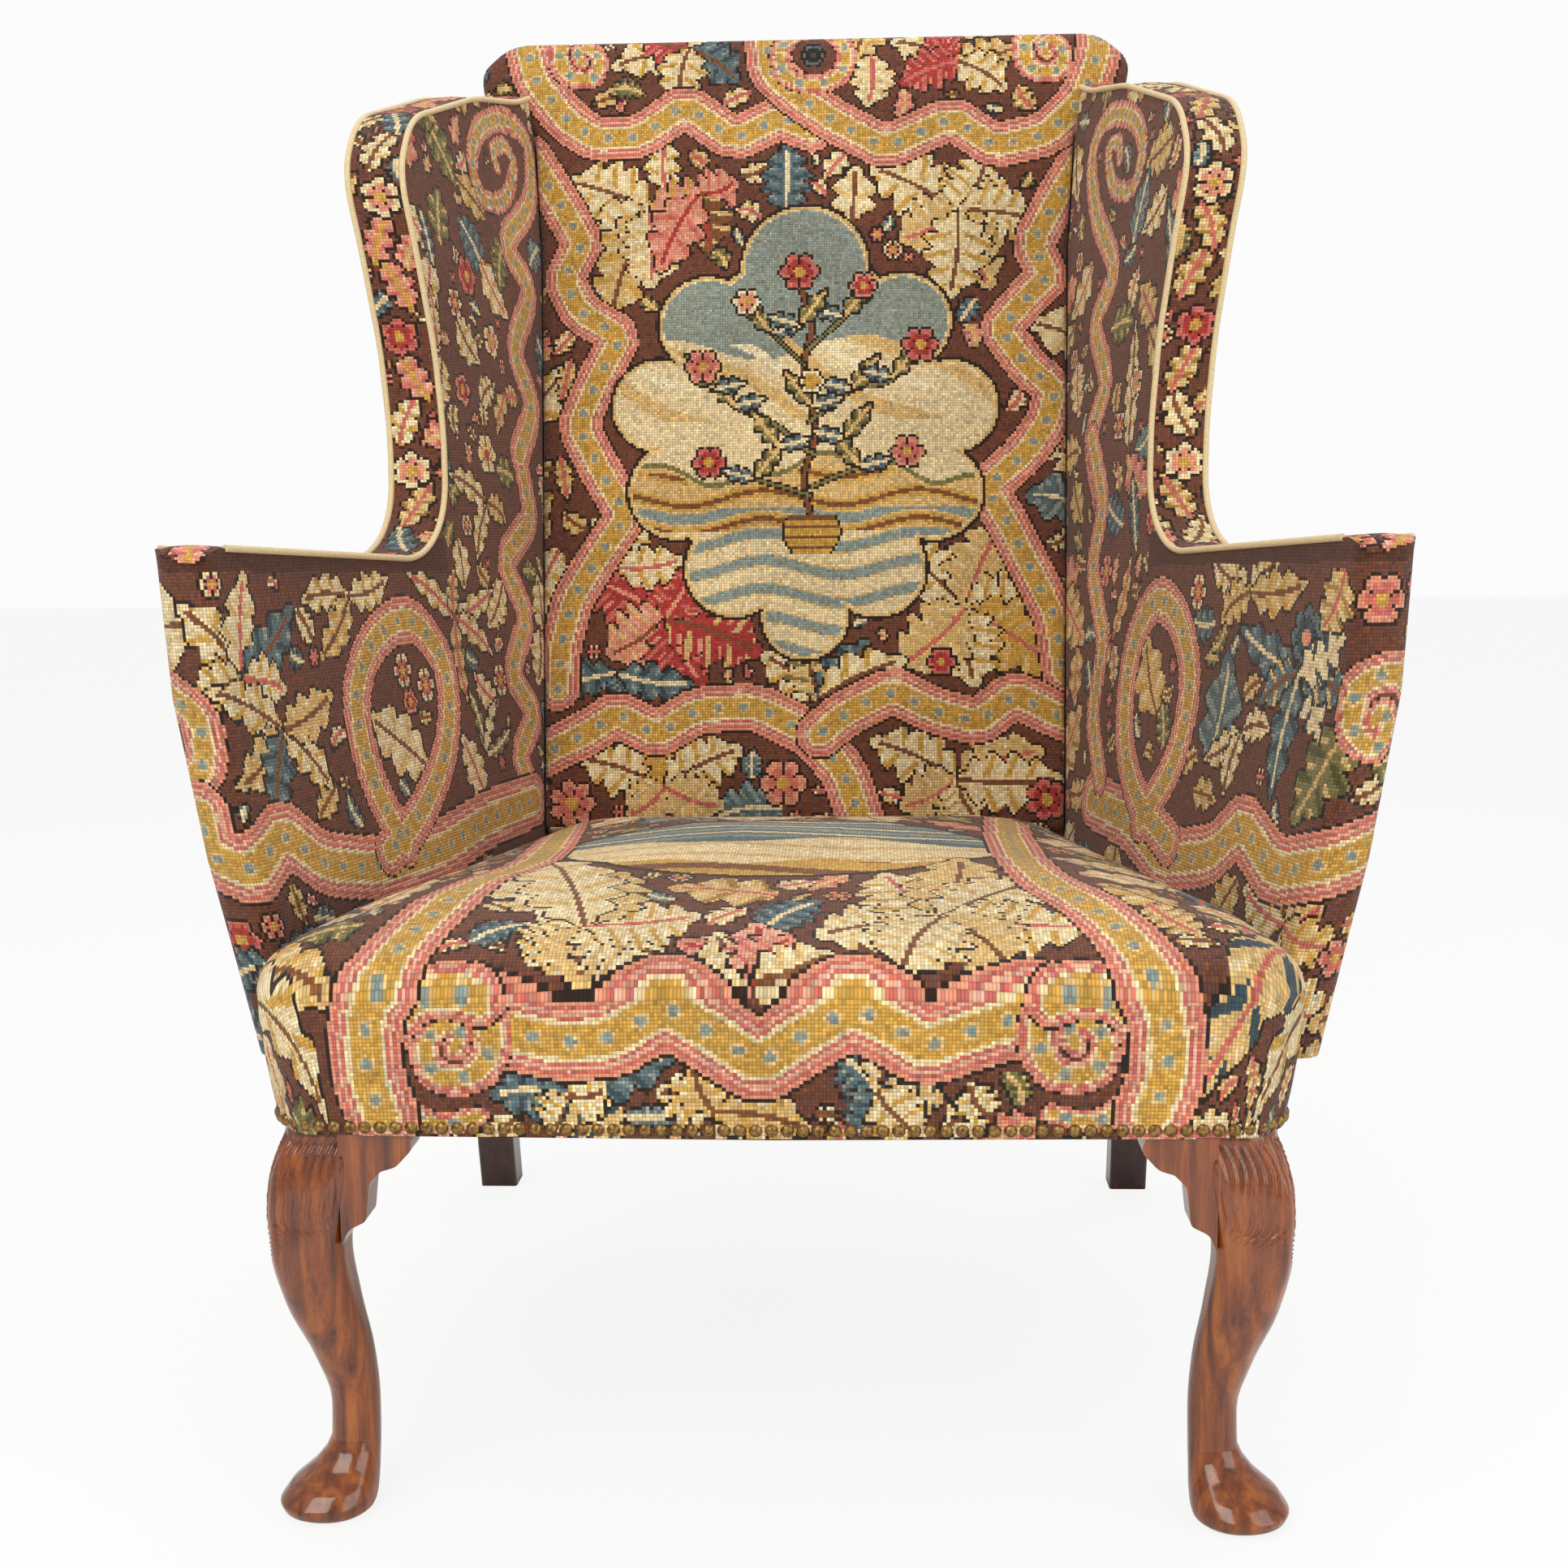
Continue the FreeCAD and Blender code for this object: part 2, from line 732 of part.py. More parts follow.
inside = inside.cut(panel_cut).cut(back_room)
keep_pair("arm_wing_inside_cover", solids_of(inside))
keep_pair("arm_wing_outside_cover", solids_of(outside.cut(back_room)))

band_slab = panel_slab(edge_hold, panel_thickness - edge_hold, 1.5)
band = side_prism(0.0).cut(side_prism(cover_thickness)).common(band_slab)
band = band.cut(panel_cut).cut(back_room)
keep_pair("arm_wing_border_band", solids_of(band))

core_slab = panel_slab(cover_thickness + soft_gap, panel_thickness - cover_thickness - soft_gap,
                       cover_thickness + soft_gap)
core = core_slab.common(side_prism(cover_thickness + soft_gap))
core = core.cut(panel_cut).cut(back_room)
wood_slab = panel_slab(frame_skin, frame_skin + frame_thickness, frame_edge + 8.0)
wood_area = wood_slab.common(side_prism(frame_edge)).cut(panel_cut).cut(back_room)
wood_open = side_prism(frame_edge + frame_width)
rim = wood_area.cut(wood_open)
arm_split = arm_rear_z - frame_edge + 2.0
wing_split = wing_shoulder_z - frame_width - 14.0
wide = 900.0
wing_start_y = wing_root_y - wing_root_radius
wing_zone = box(0, wing_start_y, arm_split, wide, wide, 1300)
arm_rail = rim.cut(wing_zone)
wing_post = rim.common(wing_zone).common(box(0, 0, arm_split, wide, wide, wing_split))
wing_rail = rim.common(box(0, 0, wing_split, wide, wide, 1300))
arm_rail_low = arm_rail.BoundBox.ZMin
post_front = arm_foot_y - 10.0
arm_post_area = wood_area.cut(arm_rail)
arm_post_points = [
    (arm_foot_y - 30, arm_foot_z - 10),
    (arm_front_y - 30, arm_front_z),
    (arm_front_y + frame_width + 10, arm_front_z),
    (arm_foot_y + frame_width + 10, arm_foot_z - 10),
]
arm_post_tool = prism(arm_post_points, [0, 0, 0, 0], lambda u, v: V(150, u, v), V(400, 0, 0))
arm_post = arm_post_area.common(arm_post_tool)
tack_low = arm_post_area.cut(arm_post_tool).common(
    box(0, 0, panel_rear_bottom_z - 5, wide, wide, rail_top - 8))
wing_foot = wood_area.cut(rim).common(
    box(0, wing_root_y - 22, rail_top - 8, wide, wing_root_y + 22, arm_rear_z)).cut(arm_rail)
keep_pair("arm_rail", solids_of(arm_rail))
keep_pair("wing_post", solids_of(wing_post))
keep_pair("wing_rail", solids_of(wing_rail))
keep_pair("arm_post", solids_of(arm_post, 9000.0))
keep_pair("arm_tack_rail", solids_of(tack_low))
keep_pair("wing_stile", solids_of(wing_foot))
wood = [arm_rail, wing_post, wing_rail, arm_post, tack_low, wing_foot]
stuffing = core
for piece in wood:
    stuffing = stuffing.cut(piece)
keep_pair("arm_wing_stuffing", solids_of(stuffing, 3000.0))


def piping_path(depth):
    """Seam of the border band, from the arm front over the wing to the back."""
    run = refined_corners(side_points, side_radii, 16.0)
    start_y = arm_front_y + arm_corner_radius + 2.0
    slope = (arm_rear_z - arm_front_z) / (wing_root_y - arm_front_y + front_ease)
    kept = [(start_y, arm_front_z + slope * (start_y - arm_front_y + front_ease))]
    for y, z in run:
        if start_y + 10.0 < y < wing_rise_y + 60.0:
            kept.append((y, z))
    last = kept[-1]
    goal = side_points[8]
    span = math.dist(last, goal)
    step = 70.0 / span
    kept.append((last[0] + (goal[0] - last[0]) * step, last[1] + (goal[1] - last[1]) * step))
    spaced = [kept[0]]
    for k in range(1, len(kept)):
        a = spaced[-1]
        b = kept[k]
        gap = math.dist(a, b)
        count = max(1, math.ceil(gap / 60.0))
        for i in range(1, count):
            t = i / count
            bow = 0.02 * (1 if i % 2 else -1)
            spaced.append((a[0] + (b[0] - a[0]) * t + bow, a[1] + (b[1] - a[1]) * t + bow))
        spaced.append(b)
    return [panel_point(depth, y, z) for y, z in spaced]


for name, depth in (("piping_inner", 0.0), ("piping_outer", panel_thickness)):
    cord = tube(piping_path(depth), piping_radius).cut(back_room).cut(panel_cut)
    keep_pair(name, solids_of(cord, 50.0))

# Back
pad_outer = back_wires(0.0, back_pad_depth)
back_skin = open_cover(pad_outer, back_wires(cover_thickness, back_pad_depth))
ear_split_z = ear_bottom_z - 2.0
roll_rear = back_depth - cover_thickness - 0.3
low_block = box(-wide, -wide, 0, wide, 2 * wide, ear_split_z)


def back_prism(inset, near, far):
    """Straight length of the back's outline between two depths."""
    radii = [r for r in back_radii]
    return prism(inset_points(back_points, inset), radii,
                 lambda u, v: back_place(u, v, near),
                 back_place(0, 0, far - near) - back_place(0, 0, 0))


roll = back_prism(0.0, back_pad_depth, roll_rear)
roll = roll.cut(back_prism(cover_thickness, back_pad_depth, roll_rear)).cut(low_block)
keep("back_inside_cover", back_skin)
keep("back_crest_cover", solids_of(roll))

crest_low = ear_bottom_z + 4.0
crest_near = back_pad_depth + 3.4
crest_rail = back_prism(cover_thickness + soft_gap + 5.0, crest_near, crest_near + post_depth)
crest_rail = crest_rail.cut(box(-wide, -wide, 0, wide, 2 * wide, crest_low))
keep("crest_rail", solids_of(crest_rail))
pad_core = Part.makeLoft(back_wires(cover_thickness + soft_gap, back_pad_depth), True, True)
keep("back_stuffing", pad_core)
crest_wadding = back_prism(cover_thickness + soft_gap, crest_near, roll_rear - soft_gap)
crest_wadding = crest_wadding.cut(low_block).cut(crest_rail)
crest_wadding = crest_wadding.cut(box(-wide, -wide, 0, wide, 2 * wide, crest_low + 2.0))
keep("crest_wadding", solids_of(crest_wadding))

post = rear_post()
keep_pair("rear_leg_post", post)


def back_slab(half, low, high, near, far):
    """Board in the plane of the back, across its full width between the two posts."""
    points = [(-half, low), (half, low), (half, high), (-half, high)]
    wire = Part.Wire([Part.makeLine(back_place(*points[k], near),
                                    back_place(*points[(k + 1) % 4], near)) for k in range(4)])
    reach = back_place(0, 0, far) - back_place(0, 0, near)
    return Part.Face(wire).extrude(reach)


stay_low = up_back(rail_top) + 12.0
stay_near = back_pad_depth + 3.4
stay = back_slab(400, stay_low, stay_low + stay_rail_height, stay_near, stay_near + post_depth)
posts_both = [post, mirrored(post)]
stay = stay.common(box(-post_middle(rail_top)[0], 0, 0, post_middle(rail_top)[0], wide, 1300))
for p in posts_both:
    stay = stay.cut(p)
keep("stay_rail", solids_of(stay))

web_top = up_back(crest_low) + 12.0
web_long = []
for k in range(back_web_long):
    x = (k - (back_web_long - 1) / 2) * (2 * seat_half_width - 60.0) / back_web_long
    piece = back_slab(web_width / 2, stay_low + 6.0, web_top, back_pad_depth + 1.9,
                      back_pad_depth + 1.9 + web_thickness)
    piece.translate(V(x, 0, 0))
    web_long.append(piece)
keep("back_webbing_long", web_long)
web_cross = []
for k in range(back_web_cross):
    v = stay_low + 95.0 + k * (web_top - stay_low - 150.0) / (back_web_cross - 1)
    z = back_place(0, v).z
    half = blend(panel_plan, z)[0] + post_side_gap + 14.0
    web_cross.append(back_slab(half, v - web_width / 2, v + web_width / 2,
                               back_pad_depth + 0.4, back_pad_depth + 0.4 + web_thickness))
keep("back_webbing_cross", web_cross)

back_cover_low = (seat_rail_bottom + 2.0 - back_foot_z
                  + back_depth * math.sin(rake)) / math.cos(rake)
rear_sheet = back_section(0.0, back_depth - cover_thickness, 0.0)
rear_sheet = Part.Face(rear_sheet).extrude(back_place(0, 0, cover_thickness) - back_place(0, 0, 0))
lower_half = rail_half_width + panel_thickness
widen = [
    (-lower_half, back_cover_low),
    (-(arm_half_width + panel_thickness), up_back(arm_line_height)),
    (-(wing_half_width + panel_thickness), up_back(wing_line_height)),
    (-(wing_top_half_width + panel_thickness - 8.0), up_back(ear_bottom_z) + 6.0),
]
sheet_points = widen + [(-u, v) for u, v in reversed(widen)]
lower_sheet = prism(sheet_points, [0] * len(sheet_points),
                    lambda u, v: back_place(u, v, back_depth - cover_thickness),
                    back_place(0, 0, cover_thickness) - back_place(0, 0, 0))
keep("back_outside_cover", solids_of(lower_sheet.fuse(rear_sheet).removeSplitter()))

# Seat frame
seat_plan_bottom = seat_rail_bottom
rail_outer = inset_points(seat_points, seat_insets(rail_setback, side_rail_setback))
rail_inner = inset_points(seat_points, seat_insets(rail_setback + rail_thickness,
                                                   side_rail_setback + rail_thickness))
flat = lambda u, v: V(u, v, seat_plan_bottom)
rail_radii = [0, 0, 0, seat_front_corner - rail_setback, 0, seat_front_corner - rail_setback, 0, 0, 0]
ring = prism(rail_outer, rail_radii, flat, V(0, 0, rail_top - seat_rail_bottom))
hole = prism(rail_inner, [0] * len(rail_inner), flat, V(0, 0, rail_top - seat_rail_bottom))
ring = ring.cut(hole)
leg = front_leg()
leg_top = leg.common(box(0, -50, seat_rail_bottom, 500, 200, rail_top + 1))
legs_both = [leg, mirrored(leg)]
rear_rail_front = seat_rear_y + 0.5
rail_ring = ring
for piece in legs_both + posts_both:
    rail_ring = rail_ring.cut(piece)
leg_inner_x = leg_stations[0][1] - leg_stations[0][2]
leg_back_y = leg_diagonal - leg_stations[0][1] + leg_stations[0][2]
front_rail = rail_ring.common(box(-leg_inner_x, -50, 0, leg_inner_x, leg_back_y, 500))
side_rail = rail_ring.common(box(100, leg_back_y, 0, 500, seat_rear_y, 500))
rear_rail = box(-post_middle(rail_top)[0], rear_rail_front, seat_rail_bottom,
                post_middle(rail_top)[0], rear_rail_front + rail_thickness, rail_top)
for p in posts_both:
    rear_rail = rear_rail.cut(p)
rear_rail = rear_rail.cut(behind_back(back_depth - cover_thickness - 0.4))
side_rail = side_rail.cut(rear_rail)
keep("seat_rail_front", solids_of(front_rail))
keep_pair("seat_rail_side", solids_of(side_rail))
keep("seat_rail_rear", solids_of(rear_rail))

# Seat upholstery
seat_outer_wires = seat_wires(0.0, seat_rail_bottom)
seat_skin = open_cover(seat_outer_wires, seat_wires(cover_thickness, seat_rail_bottom))
keep("seat_cover", seat_skin)
hollow_top = rail_top + hessian_thickness + soft_gap
pad = Part.makeLoft(seat_wires(cover_thickness + soft_gap, seat_rail_bottom), True, True)
hollow = prism(rail_outer, rail_radii, flat, V(0, 0, hollow_top - seat_rail_bottom))
seat_stuffing = pad.cut(hollow)
keep("seat_stuffing", solids_of(seat_stuffing))
hessian_points = inset_points(seat_points, seat_insets(rail_setback + 3.0, side_rail_setback + 3.0))
hessian = prism(hessian_points, rail_radii,
                lambda u, v: V(u, v, rail_top), V(0, 0, hessian_thickness))
keep("seat_hessian", hessian)

# Corner blocks: glued in behind the front legs, each with a screw into the leg
block_z = seat_rail_bottom + 20.0
block_points = [
    (leg_inner_x - block_leg, leg_back_y - block_leg),
    (leg_inner_x - block_leg, leg_back_y - rail_thickness),
    (leg_inner_x, leg_back_y + block_leg),
    (leg_inner_x + block_leg, leg_back_y + block_leg),
    (leg_inner_x + block_leg, leg_back_y - block_leg),
]
block = prism(block_points, [0] * 5, lambda u, v: V(u, v, block_z), V(0, 0, block_height))
block = block.common(hole).cut(leg)
inward = V(1, -1, 0)
inward.normalize()
corner = V(leg_inner_x, leg_back_y, block_z + block_height / 2)
shank = Part.makeCylinder(screw_radius, screw_length, corner - inward * screw_length * 0.6, inward)
head = Part.makeCylinder(screw_radius * 2, screw_length, corner - inward * screw_length * 1.6, inward)
screw_tool = shank.fuse(head)
screw = shank.fuse(Part.makeCylinder(screw_radius * 2, 2.0,
                                     corner - inward * (screw_length * 0.6 + 2.0), inward))
block = block.cut(screw_tool)
leg_drilled = leg.cut(shank)
keep_pair("corner_block", solids_of(block, 3000.0))
keep_pair("corner_block_screw", solids_of(screw, 10.0))

# Legs and brackets
keep_pair("front_leg", leg_drilled)
bracket = knee_bracket().cut(leg)
side_bracket = knee_bracket()
side_bracket = side_bracket.mirror(V(leg_diagonal / 2, leg_diagonal / 2, 0), V(1, 1, 0))
keep_pair("knee_bracket_front", solids_of(bracket))
keep_pair("knee_bracket_side", solids_of(side_bracket.cut(leg)))

# Seat webbing, springs and the cloth underneath
webs_long = []
web_z = seat_rail_bottom - 2.0 * web_thickness - 0.4
low_plan = inset_points(seat_points, seat_insets(rail_setback + rail_thickness * 0.45,
                                                 side_rail_setback + rail_thickness * 0.45))
low_area = prism(low_plan, [0] * len(low_plan), lambda u, v: V(u, v, web_z - 5), V(0, 0, 20))
for k in range(seat_web_long):
    x = (k - (seat_web_long - 1) / 2) * 88.0
    strip = box(x - web_width / 2, 0, seat_rail_bottom - web_thickness,
                x + web_width / 2, rear_rail_front + rail_thickness * 0.6, seat_rail_bottom)
    webs_long.append(strip.cut(box(-wide, -wide, 0, wide, low_plan[4][1] + 4, 400)))
webs_cross = []
for k in range(seat_web_cross):
    y = 150.0 + k * 106.0
    strip = box(-wide / 2, y - web_width / 2, web_z,
                wide / 2, y + web_width / 2, web_z + web_thickness)
    webs_cross.append(strip.common(low_area))
keep("seat_webbing_long", webs_long)
keep("seat_webbing_cross", webs_cross)


def biarc_middle(p, t, q, s):
    """Joint of two arcs that leave p along t and reach q along s."""
    v = q - p
    both = t + s
    dot = v.dot(both)
    one = 2 * (1 - t.dot(s))
    d = (-dot + math.sqrt(dot * dot + one * v.dot(v))) / one
    return (p + q + (t - s) * d) * 0.5


def tangent_arc(a, t, b):
    chord = b - a
    length = chord.Length
    angle = t.getAngle(chord)
    side = t - chord * (t.dot(chord) / chord.dot(chord))
    side.normalize()
    mid = (a + b) * 0.5 + side * (length / 2 * math.tan(angle / 2))
    return Part.Arc(a, mid, b).toShape()


def coil_spring(x, y, low, high):
    """Waisted coil in quarter turns, each one a pair of tangent arcs."""
    quarters = spring_turns * 4
    rows = []
    for k in range(quarters + 1):
        share = k / quarters
        radius = spring_waist + (spring_radius - spring_waist) * (2 * share - 1) ** 2
        angle = math.pi / 2 * k
        spot = V(x + radius * math.cos(angle), y + radius * math.sin(angle),
                 low + spring_wire + (high - low - 2 * spring_wire) * share)
        slope = 4 * (spring_radius - spring_waist) * (2 * share - 1) / quarters
        rise = (high - low - 2 * spring_wire) / quarters
        turn = radius * math.pi / 2
        heading = V(slope * math.cos(angle) - turn * math.sin(angle),
                    slope * math.sin(angle) + turn * math.cos(angle), rise)
        heading.normalize()
        rows.append((spot, heading))
    edges = []
    for (p, t), (q, s) in zip(rows, rows[1:]):
        joint = biarc_middle(p, t, q, s)
        edges.append(tangent_arc(p, t, joint))
        edges.append(tangent_arc(q, s * -1, joint))
    path = Part.Wire(edges)
    section = Part.Wire([Part.makeCircle(spring_wire, rows[0][0], rows[0][1])])
    return path.makePipeShell([section], True, False)


springs = []
for row in range(spring_rows):
    for column in range(spring_rows):
        x = (column - 1) * (128.0 - row * 12.0)
        y = 175.0 + row * 135.0
        springs.append(coil_spring(x, y, seat_rail_bottom + 0.2, rail_top - 0.2))
keep("seat_springs", springs)

cambric_plan = inset_points(seat_points, seat_insets(rail_setback + 10.0, side_rail_setback + 10.0))
cambric = prism(cambric_plan, [0] * len(cambric_plan),
                lambda u, v: V(u, v, web_z - cambric_thickness - 0.2), V(0, 0, cambric_thickness))
corner_room = leg_stations[0][1] - leg_stations[0][2] - 20.0
front_room = leg_diagonal - leg_stations[0][1] + leg_stations[0][2] + 20.0
for sign in (-1, 1):
    x0 = min(sign * (corner_room - 45), sign * 500)
    x1 = max(sign * (corner_room - 45), sign * 500)
    cambric = cambric.cut(box(x0, -100, 0, x1, front_room + 45, 400))
for p in posts_both:
    cambric = cambric.cut(p)
keep("dust_cover", solids_of(cambric, 50.0))


# %% Decorative nails along the lower edges of the covers
def nail_head(spot, outward):
    """Low dome whose flat back rests on the cover."""
    sphere_radius = (nail_radius ** 2 + nail_height ** 2) / (2 * nail_height)
    profile = [V(0, 0, 0), V(nail_radius, 0, 0), V(0, 0, nail_height)]
    lean = math.asin(nail_radius / sphere_radius) / 2
    middle = V(sphere_radius * math.sin(lean), 0,
               nail_height - sphere_radius * (1 - math.cos(lean)))
    edges = [Part.makeLine(profile[0], profile[1]),
             Part.Arc(profile[1], middle, profile[2]).toShape(),
             Part.makeLine(profile[2], profile[0])]
    dome = Part.Face(Part.Wire(edges)).revolve(V(0, 0, 0), V(0, 0, 1), 360)
    dome.rotate(V(0, 0, 0), FreeCAD.Vector(0, 0, 1).cross(outward),
                math.degrees(V(0, 0, 1).getAngle(outward)))
    dome.translate(spot + outward * 0.2)
    return dome


def nails_along(wire, inside_point, first, last):
    """Heads at an even pitch along a flat wire, between two distances from its start."""
    count = max(1, round((last - first) / nail_pitch))
    lengths = wire.discretize(Distance=1.0)
    run = [0.0]
    for a, b in zip(lengths, lengths[1:]):
        run.append(run[-1] + (b - a).Length)
    heads = []
    for k in range(count + 1):
        goal = first + (last - first) * k / count
        i = 1
        while i < len(run) - 1 and run[i] < goal:
            i += 1
        a = lengths[i - 1]
        b = lengths[i]
        t = (goal - run[i - 1]) / (run[i] - run[i - 1])
        spot = a + (b - a) * t
        along = b - a
        outward = V(along.y, -along.x, 0)
        outward.normalize()
        if outward.dot(spot - inside_point) < 0:
            outward = outward * -1
        heads.append(nail_head(spot, outward))
    return heads


nail_z = seat_rail_bottom + nail_rise
nail_tuck = 1.0 - 0.2 * nail_rise / 12.0
seat_slice = seat_section(0.0, nail_z, seat_tuck * nail_tuck, seat_side_tuck * nail_tuck)
middle_point = V(0, 300, nail_z)
points_on = seat_slice.discretize(Distance=1.0)
front_run = []
start = min(range(len(points_on)), key=lambda k: (points_on[k] - V(-400, arm_foot_y - 14, nail_z)).Length)
ordered = points_on[start:-1] + points_on[:start]
if ordered[20].y > ordered[0].y:
    ordered = [ordered[0]] + ordered[:0:-1]
for p in ordered:
    front_run.append(p)
    if p.x > 0 and p.y > arm_foot_y - 14:
        break
front_wire = Part.makePolygon(front_run)
keep("nails_seat_front", nails_along(front_wire, middle_point, 0.0, front_wire.Length))

side_nails = []
side_start = arm_foot_y + arm_nose_radius + 12.0
side_end = back_y(panel_rear_bottom_z) + back_depth - 10.0
side_count = round((side_end - side_start) / nail_pitch)
for k in range(side_count + 1):
    y = side_start + (side_end - side_start) * k / side_count
    t = (y - arm_foot_y) / (panel_rear_y - arm_foot_y)
    z = arm_foot_z + (panel_rear_bottom_z - arm_foot_z) * t + nail_rise
    spot = panel_point(panel_thickness, y, z)
    ahead = panel_point(panel_thickness, y - 1.0, z)
    above = panel_point(panel_thickness, y, z + 1.0)
    outward = (ahead - spot).cross(above - spot)
    outward.normalize()
    if outward.x < 0:
        outward = outward * -1
    if y > back_foot_y:
        outward = V(1, 0, 0)
    side_nails.append(nail_head(spot, outward))
keep_pair("nails_side", Part.makeCompound(side_nails))

rear_nails = []
rear_half = rail_half_width + panel_thickness - 8.0
rear_count = round(2 * rear_half / nail_pitch)
behind = back_place(0, 0, 1) - back_place(0, 0, 0)
for k in range(rear_count + 1):
    x = -rear_half + 2 * rear_half * k / rear_count
    rear_nails.append(nail_head(back_place(x, back_cover_low + nail_rise, back_depth), behind))
keep("nails_rear", rear_nails)

# %% Move the origin under the middle of the footprint and write one file for each node
everything = Part.makeCompound(list(nodes.values()))
bounds = everything.optimalBoundingBox(False, False)
shift = V(0, -(bounds.YMin + bounds.YMax) / 2, 0)
for name, shape in nodes.items():
    shape.translate(shift)
    shape.exportStep("parts/" + name + ".step")
    print(name, len(shape.Solids), "valid" if shape.isValid() else "NOT VALID",
          round(shape.Volume / 1000, 1))
print("footprint shift", round(shift.y, 3), "size", round(bounds.XLength, 1),
      round(bounds.YLength, 1), round(bounds.ZLength, 1))
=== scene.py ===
# %% [markdown]
# # A wingback armchair in old needlework
# The chair's frame, sizes and hidden layers come from its CAD model, which is loaded first
# and never moved. This lesson dresses it: stitched covers, a cream cord along the seams,
# carved walnut legs, brass nails, soft light and a camera.

# %% Load the chair
import bpy
import math
import numpy as np
from mathutils import Matrix, Vector


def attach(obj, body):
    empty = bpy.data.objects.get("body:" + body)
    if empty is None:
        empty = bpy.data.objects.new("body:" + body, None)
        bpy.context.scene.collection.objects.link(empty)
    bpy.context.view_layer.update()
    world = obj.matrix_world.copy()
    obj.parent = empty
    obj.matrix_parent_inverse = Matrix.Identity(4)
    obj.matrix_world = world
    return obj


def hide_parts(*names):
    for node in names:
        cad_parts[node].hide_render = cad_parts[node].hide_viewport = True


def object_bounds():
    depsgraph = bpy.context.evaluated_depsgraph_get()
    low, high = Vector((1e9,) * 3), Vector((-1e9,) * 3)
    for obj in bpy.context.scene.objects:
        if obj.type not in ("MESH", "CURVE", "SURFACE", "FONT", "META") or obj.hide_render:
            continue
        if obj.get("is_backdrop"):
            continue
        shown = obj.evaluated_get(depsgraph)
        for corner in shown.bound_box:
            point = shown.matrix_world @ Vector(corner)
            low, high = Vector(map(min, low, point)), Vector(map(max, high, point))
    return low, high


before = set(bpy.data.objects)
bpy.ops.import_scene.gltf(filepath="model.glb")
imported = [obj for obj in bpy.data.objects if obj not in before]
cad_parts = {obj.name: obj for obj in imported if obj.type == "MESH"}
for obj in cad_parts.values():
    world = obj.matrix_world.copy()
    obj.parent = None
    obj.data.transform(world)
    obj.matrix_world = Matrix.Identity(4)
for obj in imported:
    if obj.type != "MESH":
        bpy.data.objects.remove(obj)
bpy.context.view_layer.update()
print("pieces in the frame:", len(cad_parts))

# %% [markdown]
# ## Camera
# The photograph is taken from a little right of the middle, at about the height of the
# arms, looking slightly down. Lengths are written in millimetres from the plane of the
# front legs, and one helper turns them into metres about the chair's own origin.

# %% Camera
front_plane = -395.306
view_point = np.array([67.5, -1233.0, 663.4])
view_turn = math.radians(-2.7)
view_tilt = math.radians(7.53)
view_roll = math.radians(-0.6)
view_length = 2441.0
view_size = 1932.0


def metres(points):
    """Millimetres from the legs' front plane to metres about the chair's origin."""
    points = np.asarray(points, float).copy()
    points[..., 1] += front_plane
    return points * 0.001


aim = np.array([math.sin(view_turn) * math.cos(view_tilt),
                math.cos(view_turn) * math.cos(view_tilt), -math.sin(view_tilt)])
level = np.array([math.cos(view_turn), -math.sin(view_turn), 0.0])
upright = np.cross(level, aim)
across = math.cos(view_roll) * level + math.sin(view_roll) * upright
upward = -math.sin(view_roll) * level + math.cos(view_roll) * upright

bpy.ops.object.select_all(action="DESELECT")
bpy.ops.object.camera_add()
camera = bpy.context.object
camera.name = "camera"
turn = Matrix(np.stack([across, upward, -aim], axis=1).tolist()).to_4x4()
camera.matrix_world = Matrix.Translation(Vector(metres(view_point))) @ turn
camera.data.sensor_width = 36.0
camera.data.lens = 36.0 * view_length / view_size
camera.data.clip_end = 50.0
bpy.context.scene.camera = camera
print("lens", round(camera.data.lens, 2), "mm")


def picture_spot(points):
    """Where points in millimetres fall in the picture, in its own units."""
    away = np.asarray(points, float) - view_point
    depth = away @ aim
    return np.stack([view_size / 2 + view_length * (away @ across) / depth,
                     view_size / 2 - view_length * (away @ upward) / depth], axis=-1)


# %% [markdown]
# ## Shape of the side panels
# Each arm and wing is one panel that leans outward as it comes forward. Its inner face is
# a shallow arc from the back corner to a rounded nose, and rows of four numbers give its
# place at each height. Any stitch on it is then found from its distance behind the nose
# and its height.

# %% Side panel rows
rake = math.radians(13.2)
back_foot = (571.0, 394.0)


def back_y(z):
    """How far back the raked plane of the back is at height z."""
    return back_foot[0] + (z - back_foot[1]) * math.tan(rake)


panel_rows = np.array([
    # height, half width at the back corner, back corner, opening per millimetre forward
    (270.0, 238.0, 571.0, 0.221),
    (370.0, 240.0, 571.0, 0.259),
    (430.0, 241.5, back_y(430.0), 0.276),
    (545.0, 243.0, back_y(545.0), 0.286),
    (640.0, 245.0, back_y(640.0), 0.272),
    (910.0, 250.0, back_y(910.0), 0.264),
    (1123.0, 266.0, back_y(1123.0), 0.264),
])
arm_front_y, arm_front_z = (124.0, 96.0), (287.0, 651.0)
nose_line_y = (128.0, 100.0)
rail_bottom = 270.0
panel_thickness = 44.0
panel_crown = 5.0
nose_radius = 15.0
nose_quarter = nose_radius * math.pi / 2
nose_flat = panel_thickness - 2 * nose_radius


